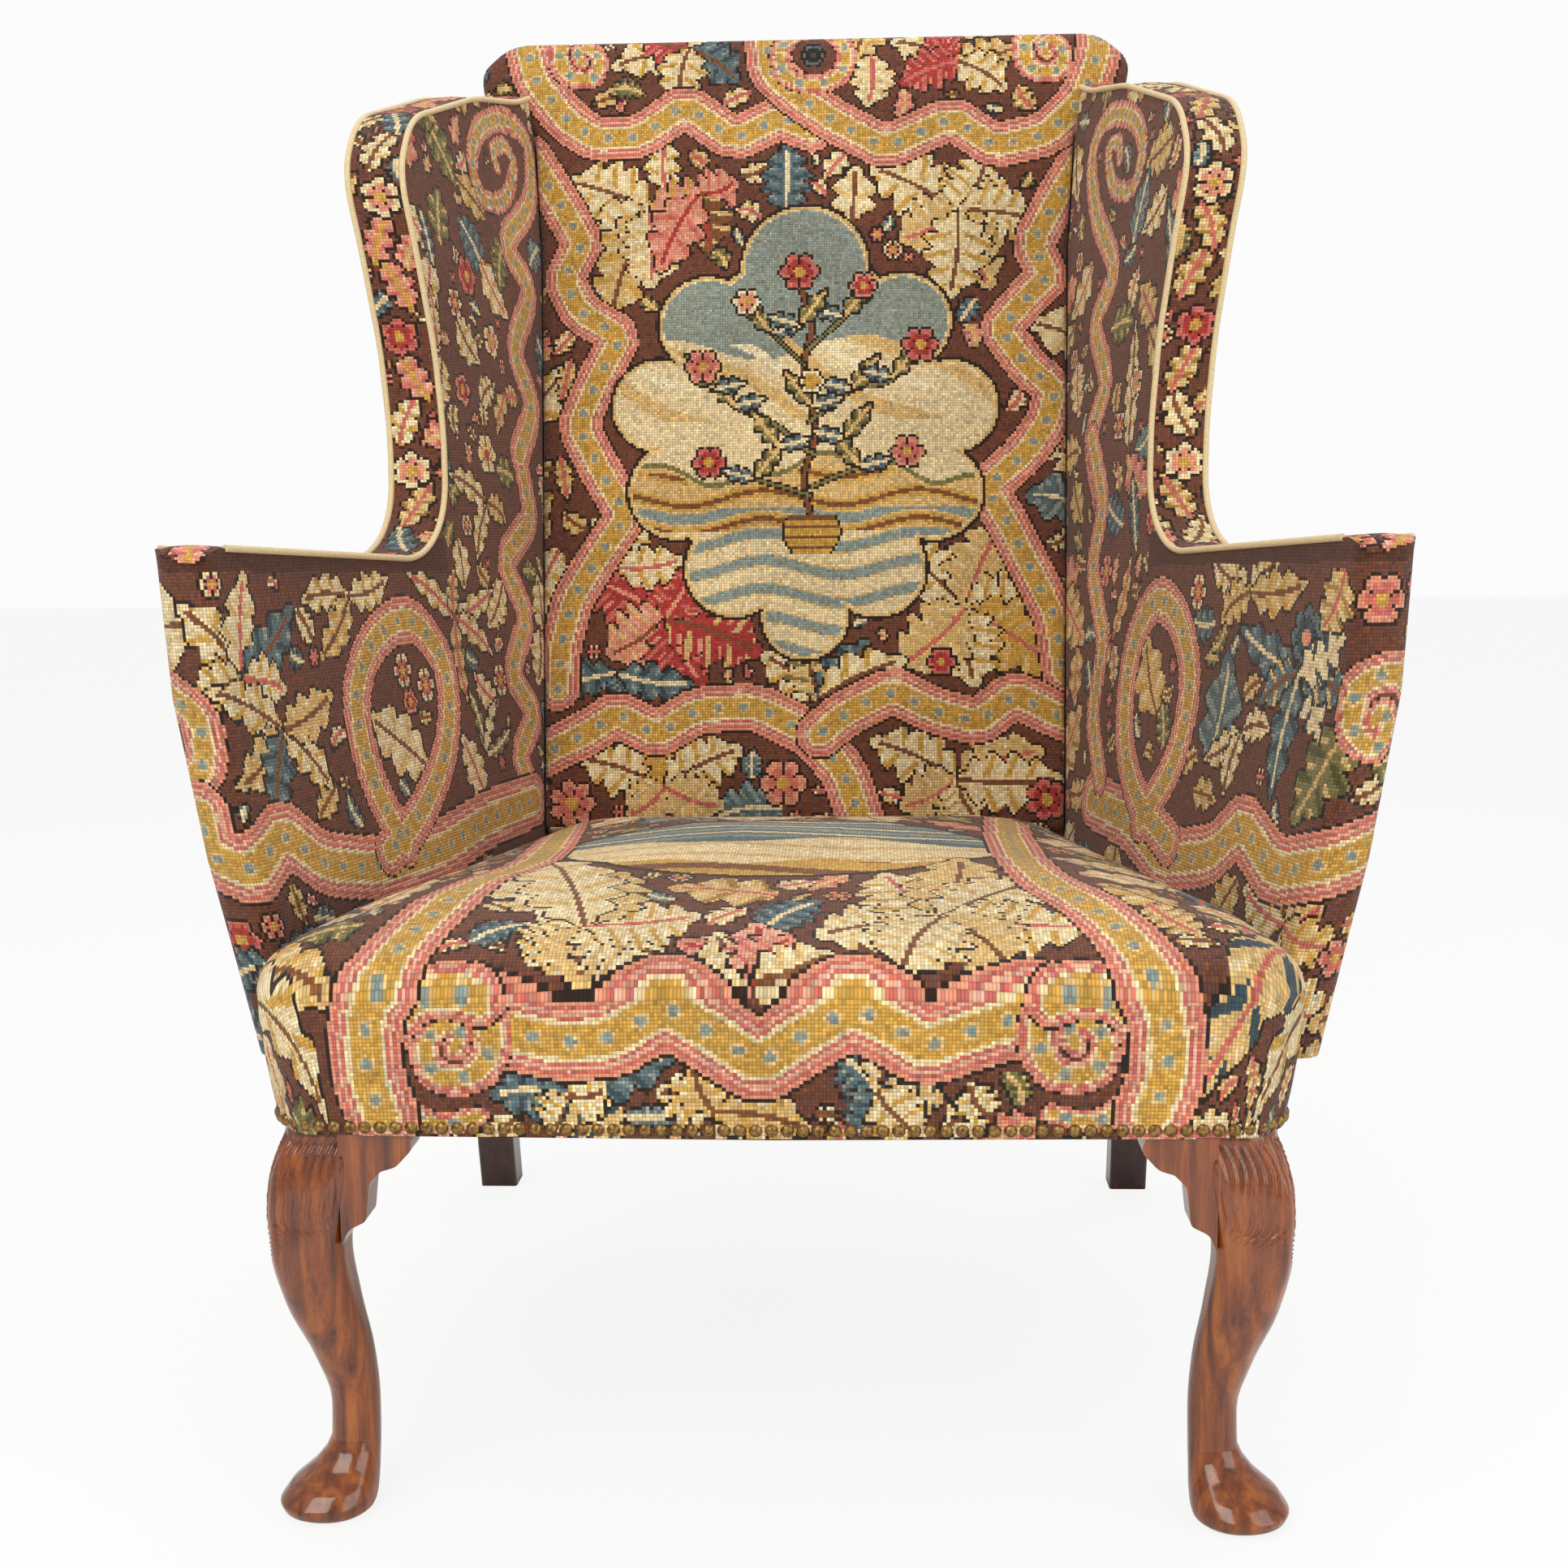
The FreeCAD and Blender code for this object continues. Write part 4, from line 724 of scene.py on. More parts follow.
def walnut_material(name, dark, mid, light, rough=0.28):
    """Polished wood: long grain, darker pores and a soft polish."""
    material, nodes, links, shader = new_material(name)
    place = nodes.new("ShaderNodeTexCoord")
    mapping = nodes.new("ShaderNodeMapping")
    mapping.inputs["Scale"].default_value = (13.0, 13.0, 0.9)
    links.new(place.outputs["Object"], mapping.inputs["Vector"])
    grain = nodes.new("ShaderNodeTexNoise")
    grain.inputs["Scale"].default_value = 9.0
    grain.inputs["Detail"].default_value = 7.0
    grain.inputs["Distortion"].default_value = 0.35
    links.new(mapping.outputs[0], grain.inputs["Vector"])
    pores = nodes.new("ShaderNodeTexNoise")
    pores.inputs["Scale"].default_value = 90.0
    pores.inputs["Detail"].default_value = 3.0
    links.new(mapping.outputs[0], pores.inputs["Vector"])
    both = math_node(nodes, links, "ADD",
                     math_node(nodes, links, "MULTIPLY", grain.outputs["Fac"], 0.78),
                     math_node(nodes, links, "MULTIPLY", pores.outputs["Fac"], 0.22))
    ramp = nodes.new("ShaderNodeValToRGB")
    ramp.color_ramp.elements[0].position = 0.34
    ramp.color_ramp.elements[1].position = 0.66
    middle = ramp.color_ramp.elements.new(0.5)
    ordered = [ramp.color_ramp.elements[0], middle, ramp.color_ramp.elements[2]]
    for element, code in zip(ordered, (dark, mid, light)):
        element.color = paint(code)
    links.new(both, ramp.inputs["Fac"])
    links.new(ramp.outputs[0], shader.inputs["Base Color"])
    shader.inputs["Roughness"].default_value = rough
    shader.inputs["Coat Weight"].default_value = 0.6
    shader.inputs["Coat Roughness"].default_value = 0.08
    relief = nodes.new("ShaderNodeBump")
    relief.inputs["Distance"].default_value = 0.00012
    relief.inputs["Strength"].default_value = 0.5
    links.new(pores.outputs["Fac"], relief.inputs["Height"])
    links.new(relief.outputs[0], shader.inputs["Normal"])
    return material


walnut = walnut_material("polished_walnut", "4a1f09", "7d3c10", "a3591b", 0.16)
dark_wood = walnut_material("dark_stained_wood", "1b0a07", "35140c", "4f2212", 0.35)
beech = noise_material("beech", "a9794e", "c79a68", 14.0, (6, 6, 1), 0.6)
brass = noise_material("antique_brass", "5c4222", "a88550", 420.0, (1, 1, 1), 0.38, 0.00012, 0.85)
cord_cream = noise_material("cream_cord", "c9b083", "e6d3a8", 900.0, (1, 1, 1), 0.85, 0.0003,
                            sheen=0.2)
steel = noise_material("steel", "55565a", "85868a", 200.0, (1, 1, 1), 0.35, 0.00005, 1.0)
jute = noise_material("jute", "8a6a42", "b8945f", 500.0, (1, 1, 1), 0.9, 0.0004)
hessian = noise_material("hessian", "8d7248", "b39a68", 700.0, (1, 1, 1), 0.95, 0.0004)
cambric = noise_material("black_cambric", "131212", "232121", 800.0, (1, 1, 1), 0.95, 0.0002)
hair = noise_material("hair_stuffing", "2b211a", "5b4634", 300.0, (1, 1, 1), 0.95, 0.001)
rear_cloth = noise_material("rear_cloth", "45251b", "5a3325", 650.0, (1, 1, 1), 0.95, 0.0005,
                            sheen=0.15)
print("materials:", len(bpy.data.materials))

# %% [markdown]
# ## Inside of the arms and wings
# One cloth covers the inside of each panel and goes round the arm's nose. Its cells run
# back from the nose and up, and the side outline trims them. The stair of cells along
# the trimmed edge is drawn to the outline, where the cord covers the seam.

# %% Inside covers
stitch = 2.4


def snap_to_line(keep, y, z, line):
    """Corner cells on the edge of the kept part move to the nearest place on the line."""
    rows, columns = keep.shape
    touched = np.zeros((rows + 1, columns + 1), bool)
    away = np.zeros((rows + 1, columns + 1), bool)
    for dr in (0, 1):
        for dc in (0, 1):
            touched[dr:rows + dr, dc:columns + dc] |= keep
            away[dr:rows + dr, dc:columns + dc] |= ~keep
    edge = touched & away
    at_y, at_z, gap = nearest_on(line, y[edge], z[edge])
    close = gap < 3.2
    picked = np.argwhere(edge)[close]
    return picked, at_y[close], at_z[close]


def inside_cover(side):
    q_low = -(2 * nose_quarter + nose_flat + 18.0)
    columns = np.arange(q_low, 760.0, stitch)
    heights = np.arange(276.0, 1078.0, stitch)
    q, z = np.meshgrid(columns, heights)
    spots = panel_spot(q, z, 1.0)
    y = spots[..., 1]
    centre_y, centre_z = cell_centres(y[..., None])[..., 0], cell_centres(z[..., None])[..., 0]
    keep = inside_line(side_line, centre_y, centre_z)
    length = panel_frame(centre_z)[2]
    centre_q = cell_centres(q[..., None])[..., 0]
    keep &= (centre_q < length + 26.0) & (centre_z > panel_foot(centre_y))
    keep &= ~((centre_q < 0) & (centre_z > 652.0))
    picked, at_y, at_z = snap_to_line(keep, y, z, side_line)
    for (r, c), goal_y, goal_z in zip(picked, at_y, at_z):
        if q[r, c] > 0:
            row = panel_depth_spot(np.array([0.0]), np.array([goal_y]), np.array([goal_z]), 1.0)
            spots[r, c] = row[0]
        else:
            spots[r, c, 2] = goal_z
    spots[..., 0] *= side
    return q, z, spots, keep


covers = {}
for word, side in (("right", 1.0), ("left", -1.0)):
    covers[word] = inside_cover(side)
    print("inside cover", word, covers[word][3].sum(), "stitches")

# %% Inside cover patterns
def canvas_of(q, z, spots, facing=None):
    return Canvas(cell_centres(q[..., None])[..., 0], cell_centres(z[..., None])[..., 0],
                  cell_centres(spots), facing)


def seen_part(q):
    return cell_centres(q[..., None])[..., 0] > -12.0


q, z, spots, keep = covers["left"]
left = canvas_of(q, z, spots, seen_part(q) & keep)
spray(left, (300, 840), [(230, 760), (300, 725), (350, 760), (345, 850), (250, 860)], 17,
      ["cream", "cream", "blue", "cream"], ["gold", "straw", "blue_dark"], ["brown", "rose"])
spray(left, (350, 900), [(270, 860), (300, 960), (345, 990), (400, 960), (400, 860)], 16,
      ["cream", "straw", "blue"], ["gold", "straw", "blue_dark"], ["brown"])
spray(left, (430, 735), [(380, 740), (400, 800), (470, 715)], 14, ["cream", "straw"],
      ["gold"], ["brown"])
spray(left, (560, 760), [(510, 715), (560, 710), (600, 730), (600, 800), (575, 850)], 11,
      ["cream", "straw", "cream"], ["gold", "olive"], ["rose"])
spray(left, (600, 930), [(580, 860), (610, 870), (625, 900)], 8, ["olive", "cream"],
      ["olive_dark"], ["cream"])
leaf(left, (535, 330), (515, 250), 12, "blue", "blue_dark", "cream")
leaf(left, (540, 430), (530, 350), 12, "cream", "gold", "rose")
flower(left, (575, 340), 19, 6, "rose", "red", "gold")
flower(left, (605, 420), 17, 5, "cream", "salmon", "gold")
flower(left, (570, 480), 16, 5, "salmon", "red", "gold")
flower(left, (600, 560), 20, 6, "cream", "straw", "red")
spray(left, (600, 620), [(560, 590), (620, 640), (590, 680)], 12, ["cream", "straw"],
      ["gold"], ["brown"])
flower(left, (300, 1165), 18, 6, "rose", "red", "gold")
spray(left, (340, 1190), [(290, 1220), (330, 1240), (390, 1150)], 14, ["blue", "olive"],
      ["blue_dark"], ["cream"])
spiral_left = [(205, 860), (245, 890), (250, 950), (215, 970)]
ribbon(left, spiral_left, 30, smooth=True)
ribbon(left, [(640, 560), (655, 640), (620, 690), (650, 760), (630, 830), (660, 880),
              (640, 930), (655, 970)], 30)
ribbon(left, [(245, 1010), (255, 1060), (310, 1075), (350, 1025), (400, 1065), (465, 1070),
              (540, 1050), (600, 1010), (660, 985)], 44)
ribbon(left, [(480, 1050), (520, 1000), (550, 920), (550, 830), (520, 775), (490, 765),
              (455, 800), (440, 870), (460, 960), (500, 1040)], 33, smooth=True)
flower(left, (506, 865), 13, 6, "salmon", "red", "gold")
ribbon(left, [(612, 205), (608, 185), (622, 180), (633, 205), (622, 245), (596, 245),
              (582, 200), (590, 160), (622, 148), (650, 180), (652, 250), (625, 300),
              (652, 360), (635, 430), (655, 500), (640, 560)], 13, 34, smooth=True)
# Painted shade: a plain darker strip of ground along the top of the inside arm, just below the edge
# strip.
painted_shade_band = left.y > 633.0 - (left.x - 20) * 0.028
arm_part = (left.x < 330) & (left.y < 652)
left.put(arm_part & painted_shade_band, "ground_dark")
fill_bare(left, 16.0, left.y < 632)
fill_bare(left, 11.0)

q, z, spots, keep = covers["right"]
right = canvas_of(q, z, spots, seen_part(q) & keep)
flower(right, (1610, 785), 24, 8, "blue", "blue_dark", "salmon")
spray(right, (1600, 830), [(1540, 780), (1560, 860), (1620, 900), (1570, 960), (1660, 860),
                           (1650, 790)], 15, ["blue", "blue", "cream"], ["blue_dark", "straw"],
      ["cream", "brown"])
spray(right, (1530, 900), [(1490, 930), (1510, 970), (1560, 900)], 12, ["cream"], ["straw"],
      ["brown"])
spray(right, (1540, 730), [(1500, 690), (1510, 760), (1570, 700), (1600, 720)], 15,
      ["cream", "straw"], ["gold"], ["brown"])
spray(right, (1370, 790), [(1345, 730), (1390, 700), (1370, 840), (1350, 850)], 10,
      ["cream", "straw"], ["gold"], ["rose"])
flower(right, (1700, 740), 20, 6, "salmon", "rose", "gold")
leaf(right, (1450, 400), (1440, 240), 15, "blue", "blue_dark", "cream")
leaf(right, (1390, 560), (1400, 390), 18, "cream", "straw", "brown", 6)
leaf(right, (1430, 600), (1420, 480), 15, "straw", "gold", "brown", 5)
flower(right, (1400, 470), 15, 5, "cream", "salmon", "gold")
leaf(right, (1400, 680), (1395, 580), 13, "blue", "blue_dark", "cream")
flower(right, (1420, 640), 15, 5, "salmon", "red", "gold")
spray(right, (1580, 1140), [(1540, 1100), (1620, 1120), (1600, 1180), (1640, 1170)], 16,
      ["cream", "straw"], ["gold"], ["rose"])
flower(right, (1640, 1190), 16, 5, "salmon", "rose", "gold")
ribbon(right, [(1345, 985), (1390, 1010), (1430, 1060), (1490, 1055), (1530, 1015),
               (1570, 1075), (1640, 1065), (1700, 1050)], 44)
ribbon(right, [(1440, 1040), (1400, 980), (1385, 900), (1395, 800), (1425, 740), (1455, 770),
               (1465, 850), (1445, 940), (1405, 1010)], 33, smooth=True)
ribbon(right, [(1690, 890), (1700, 880), (1710, 900), (1690, 925), (1665, 900), (1672, 850),
               (1712, 832), (1745, 850)], 16, 30, smooth=True)
ribbon(right, [(1380, 195), (1378, 175), (1366, 185), (1372, 230), (1396, 230), (1408, 180),
               (1396, 145), (1366, 145), (1346, 190), (1350, 260), (1372, 330), (1350, 400),
               (1362, 470), (1345, 540), (1358, 620)], 13, 32, smooth=True)
ribbon(right, [(1345, 540), (1360, 620), (1345, 700), (1360, 790), (1345, 880), (1355, 960)],
       26)
# Painted shade: a plain darker strip of ground along the top of the inside arm, just below the edge
# strip.
painted_shade_band = right.y > 633.0 - (right.x - 20) * 0.028
right.put((right.x < 330) & (right.y < 652) & painted_shade_band, "ground_dark")
fill_bare(right, 16.0, right.y < 632)
fill_bare(right, 11.0)

for word, canvas in (("left", left), ("right", right)):
    q, z, spots, keep = covers[word]
    piece = cloth_piece("arm_wing_inside_" + word, spots, keep, worn(canvas))
    side = 1.0 if word == "right" else -1.0
    dress(piece, (-side, 0, 0), 0.7, "arm_wing_inside_cover_" + word, "arm_wing_stuffing_" + word)

# %% [markdown]
# ## Edge strip of the arms and wings
# A strip as wide as the panel is thick runs from the arm's front over its top, up the
# front of the wing and over to the back, with cream cord along both of its seams.

# %% Edge strips
def edge_path():
    line = refine(side_line, 1.0)
    k = np.argmin(np.hypot(line[:, 0] - 97.5, line[:, 1] - 630.0))
    line = np.roll(line, -k, axis=0)
    if line[20, 1] < line[0, 1]:
        line = np.roll(line[::-1], 1, axis=0)
    y, z = line[:, 0], line[:, 1]
    end = np.argmax(y > back_y(z) + 52.0)
    return line[:end]


strip_line = refine(edge_path(), stitch, closed=False)
print("edge strip length", round(len(strip_line) * stitch), "mm")


def edge_strip(side):
    count = int(round(panel_thickness / stitch))
    share = np.linspace(0, 1, count + 1)
    y = np.repeat(strip_line[:, 0][:, None], count + 1, 1)
    z = np.repeat(strip_line[:, 1][:, None], count + 1, 1)
    depth = np.ones_like(y) * panel_thickness * share[None, :]
    spots = panel_depth_spot(depth, y, z, 1.0)
    half, corner, length, forward, outward = panel_frame(z)
    from_corner = spots[..., :2] - np.stack([half, corner], -1)
    reach = (from_corner * forward).sum(-1)
    turned = np.clip(np.maximum(nose_radius - depth, depth - panel_thickness + nose_radius),
                     0, nose_radius)
    limit = length + np.sqrt(nose_radius ** 2 - turned ** 2)
    over = np.maximum(reach - limit, 0)
    spots[..., :2] -= over[..., None] * forward
    ahead = np.gradient(strip_line, axis=0)
    ahead /= np.maximum(np.hypot(*ahead.T), 1e-6)[:, None]
    rise = 2.4 * np.sin(math.pi * share)[None, :] * np.ones_like(y)
    spots[..., 1] -= ahead[:, 1][:, None] * rise
    spots[..., 2] += ahead[:, 0][:, None] * rise
    spots[..., 0] *= side
    along = np.repeat((np.arange(len(strip_line)) * stitch)[:, None], count + 1, 1)
    across_cloth = depth
    hidden = over > 1.5
    keep = ~(hidden[:-1, :-1] & hidden[1:, :-1] & hidden[:-1, 1:] & hidden[1:, 1:])
    return along, across_cloth, spots, keep


def strip_pattern(canvas, side):
    random = np.random.default_rng(4 if side > 0 else 12)
    total = canvas.x.max()
    place = 20.0
    kinds = [("cream", "gold", "rose"), ("blue", "blue_dark", "cream"),
             ("straw", "gold_dark", "rose"), ("cream", "straw", "brown"),
             ("salmon", "rose", "gold")]
    k = 0
    while place < total - 10:
        middle = 22.0 + random.uniform(-5, 5)
        if k % 3 == 1:
            flower(canvas, (place, middle), 18, 6, *(("rose", "red", "gold") if k % 2 else
                                                    ("cream", "salmon", "gold")), cloth=True)
            place += 36
        else:
            one = kinds[random.integers(len(kinds))]
            tilt = (-1) ** k
            leaf(canvas, (place - 16, middle - 10 * tilt), (place + 30, middle + 11 * tilt),
                 15, *one, lobes=4, bend=random.uniform(-5, 5), cloth=True)
            place += 38
        k += 1
    fill_bare(canvas, 8.0, tries=120)


for word, side in (("right", 1.0), ("left", -1.0)):
    along, across_cloth, spots, keep = edge_strip(side)
    canvas = canvas_of(along, across_cloth, spots)
    strip_pattern(canvas, side)
    piece = cloth_piece("edge_strip_" + word, spots, keep, worn(canvas))
    dress(piece, (0, -0.5, 1), 0.5, "arm_wing_border_band_" + word)

# %% [markdown]
# ## Outside of the arms and wings
# The outer faces aren't in the picture. They get the same canvas work in a quieter
# pattern of waving ribbons and leaves.

# %% Outside covers
def outside_cover(side):
    r, z = np.meshgrid(np.arange(14.0, 860.0, 3.0), np.arange(273.0, 1079.0, 3.0))
    spots = outside_spot(r, z, 1.0)
    y = spots[..., 1]
    centre_y, centre_z = cell_centres(y[..., None])[..., 0], cell_centres(z[..., None])[..., 0]
    keep = inside_line(side_line, centre_y, centre_z)
    keep &= (centre_y < back_y(centre_z) + 58.0) & (centre_z > panel_foot(centre_y))
    keep &= (cell_centres(r[..., None])[..., 0] > 14.0)
    picked, at_y, at_z = snap_to_line(keep, y, z, side_line)
    for (row, column), goal_y, goal_z in zip(picked, at_y, at_z):
        spots[row, column] = panel_depth_spot(np.array([panel_thickness]), np.array([goal_y]),
                                              np.array([goal_z]), 1.0)[0]
    spots[..., 0] *= side
    return r, z, spots, keep


for word, side in (("right", 1.0), ("left", -1.0)):
    r, z, spots, keep = outside_cover(side)
    canvas = canvas_of(r, z, spots)
    for height in (330.0, 600.0):
        wave = [(x, height + 16 * (-1) ** k) for k, x in enumerate(range(-30, 720, 62))]
        ribbon(canvas, wave, 44, cloth=True)
    rise = [(330 + 18 * (-1) ** k, v) for k, v in enumerate(range(640, 1120, 58))]
    ribbon(canvas, rise, 40, cloth=True)
    for k, (x, v) in enumerate([(120, 450), (300, 470), (480, 450), (430, 760), (470, 900),
                                (560, 620), (250, 720), (420, 990)]):
        tips = [(x + 62 * math.cos(a), v + 62 * math.sin(a))
                for a in np.arange(0.4 + k, 6.4 + k, 1.05)]
        for j, tip in enumerate(tips):
            one = (("cream", "gold", "rose"), ("blue", "blue_dark", "cream"),
                   ("straw", "gold_dark", "brown"))[j % 3]
            leaf(canvas, (x, v), tip, 15, *one, lobes=4, cloth=True)
        flower(canvas, (x, v), 20, 6, cloth=True)
    fill_bare(canvas, 17.0)
    piece = cloth_piece("arm_wing_outside_" + word, spots, keep, worn(canvas))
    dress(piece, (side, 0, 0), 0.3, "arm_wing_outside_cover_" + word)

# %% [markdown]
# ## Back
# The back is a raked pad between the wings whose crest rises over them with rounded
# ears, and its cloth goes on over the crest to the rear. Each stitch has a place on flat
# cloth: inside the outline it lies on the pad's crown, and past the outline it turns
# over the edge and runs back.

# %% Back cover
ear_low, top = 1072.0, 1123.0


def up_back(z):
    return (z - back_foot[1]) / math.cos(rake)


half_back = [(-239.0, -14.0), (-244.0, up_back(640.0)), (-249.0, up_back(910.0)),
             (-258.0, up_back(ear_low) - 34.0), (-307.0, up_back(ear_low)),
             (-311.0, up_back(top) - 27.0), (-281.0, up_back(top))]
half_radii = [8, 0, 0, 46, 14, 26, 44]
back_line = rounded(half_back + [(-u, v) for u, v in reversed(half_back)],
                    half_radii + half_radii[::-1])
back_line = refine(back_line, 3.0)
back_edge_in = np.array([0.0, 0.9, 3.2, 9.0, 24.0, 56.0, 96.0, 146.0, 200.0, 400.0])
back_edge_depth = np.array([3.5, 0.6, -2.0, -4.2, -6.4, -8.4, -9.9, -11.1, -12.0, -12.0])


def back_spot(a, b):
    """A place on the flat cloth of the back, put on the pad."""
    at_a, at_b, gap = nearest_on(back_line, a, b)
    inside = inside_line(back_line, a, b)
    depth = np.where(inside, np.interp(gap, back_edge_in, back_edge_depth), 3.5 + gap)
    u = np.where(inside, a, at_a)
    v = np.where(inside, b, at_b)
    return np.stack([u, back_foot[0] + v * math.sin(rake) + depth * math.cos(rake),
                     back_foot[1] + v * math.cos(rake) - depth * math.sin(rake)], -1)


a, b = np.meshgrid(np.arange(-372.0, 372.1, 2.45), np.arange(-26.0, 812.0, 2.45))
back_spots = back_spot(a, b)
ca, cb = cell_centres(a[..., None])[..., 0], cell_centres(b[..., None])[..., 0]
na, nb, gap = nearest_on(back_line, ca, cb)
inside_back = inside_line(back_line, ca, cb)
reach = np.where(nb > up_back(ear_low) - 6.0, 52.0, 14.0)
back_keep = inside_back | (gap < reach)
print("back cover stitches:", back_keep.sum())

# %% Back pattern
back = Canvas(ca, cb, cell_centres(back_spots), inside_back)
spray(back, (850, 60), [(770, 80), (800, 45), (880, 45), (900, 95), (840, 115)], 20,
      ["cream", "red", "cream", "blue"], ["gold", "rose", "straw", "blue_dark"], ["brown"])
spray(back, (1180, 75), [(1110, 55), (1150, 45), (1240, 60), (1230, 105), (1120, 100)], 19,
      ["cream", "red", "straw"], ["gold", "rose"], ["brown", "rose"])
spray(back, (800, 260), [(715, 230), (740, 300), (760, 370), (800, 340), (880, 250)], 27,
      ["cream", "cream", "straw", "cream", "salmon"], ["gold", "straw"], ["brown", "rose"], 5)
spray(back, (860, 240), [(900, 225), (870, 300), (820, 320)], 22, ["salmon", "brown"],
      ["rose", "straw"], ["red"])
spray(back, (1180, 260), [(1090, 215), (1120, 290), (1210, 205), (1260, 270), (1215, 340),
                          (1170, 350)], 27, ["cream", "straw", "cream"], ["gold", "straw"],
      ["brown", "rose"], 5)
spray(back, (820, 760), [(735, 720), (760, 800), (860, 830), (920, 800), (850, 700)], 28,
      ["red", "salmon", "red", "red"], ["rose", "straw"], ["salmon", "brown"], 5)
spray(back, (760, 700), [(735, 650), (790, 650), (830, 690)], 18, ["cream"], ["gold"], ["rose"])
spray(back, (760, 830), [(700, 850), (770, 850), (840, 840)], 15, ["blue"], ["blue_dark"],
      ["cream"])
spray(back, (1190, 750), [(1120, 690), (1230, 660), (1270, 740), (1290, 820), (1200, 830),
                          (1120, 810)], 28, ["cream", "straw", "cream", "gold"],
      ["gold", "straw"], ["brown", "rose"], 5)
flower(back, (1160, 815), 15, 6, "rose", "red", "gold")
spray(back, (1010, 860), [(950, 815), (1000, 800), (1060, 800), (1100, 820)], 20,
      ["cream", "straw", "blue"], ["gold", "olive", "blue_dark"], ["brown"])
spray(back, (820, 970), [(730, 940), (780, 1000), (830, 900), (900, 930), (880, 990)], 23,
      ["cream", "straw", "gold"], ["gold", "straw"], ["brown", "rose"], 5)
spray(back, (1180, 960), [(1090, 920), (1120, 990), (1200, 1000), (1270, 930), (1290, 960)],
      23, ["cream", "straw"], ["gold", "straw"], ["brown", "rose"], 5)
flower(back, (965, 965), 24, 6, "salmon", "rose", "gold")
flower(back, (1290, 985), 22, 7, "rose", "red", "gold")
flower(back, (705, 990), 24, 7, "salmon", "rose", "gold")
for row in ([(690, 560), (700, 620)], [(705, 440), (690, 500)], [(1310, 560), (1300, 470)]):
    leaf(back, row[0], row[1], 11, "straw", "gold", "rose")
side_left = [(655, 195), (690, 250), (718, 300), (695, 345), (715, 385), (765, 415),
             (735, 470), (712, 525), (740, 580), (772, 635), (735, 690), (705, 740),
             (690, 800), (688, 850)]
side_right = [(1345, 180), (1310, 230), (1272, 300), (1292, 340), (1262, 370), (1232, 405),
              (1265, 450), (1300, 480), (1290, 520), (1262, 560), (1215, 600), (1245, 650),
              (1270, 700), (1300, 760), (1310, 830)]
ribbon(back, side_left, 35)
ribbon(back, side_right, 35)
ribbon(back, [(650, 60), (660, 100), (700, 150), (735, 172), (790, 168), (844, 130),
              (905, 172), (960, 145), (1000, 160)], 38)
ribbon(back, [(945, 50), (950, 90), (985, 120), (1030, 150), (1091, 182), (1173, 145),
              (1225, 180), (1290, 165), (1335, 120), (1352, 70), (1355, 30)], 38)
ribbon(back, [(718, 78), (712, 66), (724, 60), (738, 74), (730, 96), (700, 92), (690, 66),
              (706, 42), (735, 34)], 12, 28, smooth=True)
ribbon(back, [(1290, 66), (1284, 54), (1298, 50), (1310, 64), (1302, 86), (1272, 84),
              (1262, 56), (1280, 34), (1310, 24)], 12, 28, smooth=True)
ribbon(back, [(960, 70), (970, 95), (1003, 104), (1035, 92), (1042, 62), (1020, 40),
              (985, 42), (962, 60)], 17, smooth=True)
flower(back, (1002, 68), 13, 6, "blue", "outline", "blue_dark")
ribbon(back, [(670, 930), (720, 905), (760, 880), (810, 905), (860, 875), (930, 870),
              (1000, 905), (1040, 950), (1062, 1015)], 38)
ribbon(back, [(1345, 900), (1300, 880), (1250, 855), (1205, 890), (1150, 875), (1100, 850),
              (1040, 880), (1010, 905)], 38)

# %% [markdown]
# The middle of the back holds a scalloped cream panel. Here it has a flowering branch
# that rises from a low mound with hills and a pale sky.

# %% Scalloped panel
lobes = [(992, 330, 60), (872, 400, 46), (1112, 395, 46), (812, 500, 44), (1172, 500, 44),
         (835, 605, 46), (1150, 605, 46), (905, 700, 46), (1080, 700, 46), (992, 760, 40)]
panel_middle = back.cloth([(992, 530)])[0]
inside_panel = np.full(back.x.shape, -1e9)
for px, py, radius in lobes:
    spot = back.cloth([(px, py)])[0]
    inside_panel = np.maximum(inside_panel, radius - np.hypot(back.x - spot[0], back.y - spot[1]))
heart = np.hypot((back.x - panel_middle[0]) / 132.0, (back.y - panel_middle[1]) / 172.0)
inside_panel = np.maximum(inside_panel, (1 - heart) * 132.0)
back.put(inside_panel > -3.0, "outline")
back.put(inside_panel > 0.0, "straw")
back.put(inside_panel > 3.0, "cream")
field = inside_panel > 4.0
high = back.y - panel_middle[1]
sky = field & (high > 78 + 10 * np.sin(back.x / 26.0))
back.put(sky, "sky")
streak = np.sin((back.x * 0.55 + back.y * 0.95) / 9.0 + np.sin(back.x / 30.0))
back.put(field & (high > 10) & (high < 90) & (streak > 0.72), "straw")
back.put(field & (high > 40) & (high < 84) & (streak < -0.86), "cream_light")
mound = -34 + 12 * np.sin(back.x / 34.0 + 0.6) + 4 * np.sin(back.x / 11.0)
back.put(field & (high < mound), "olive")
back.put(field & (high < mound - 5), "straw")
rows = np.sin((back.y + 7 * np.sin(back.x / 23.0)) / 4.2)
back.put(field & (high < mound - 8) & (rows > 0.25), "gold")
back.put(field & (high < mound - 8) & (rows > 0.86), "brown")
back.put(field & (high < -74) & (rows < -0.4), "blue_light")
back.put(field & (high < -96) & (rows > -0.1), "cream")


def stem(canvas, points, width, name, edge="outline"):
    line = curved(canvas.cloth(points))
    distance, _, _ = along_line(line, canvas.x, canvas.y)
    canvas.put(distance < width / 2 + 1.6, edge)
    canvas.put(distance < width / 2, name)


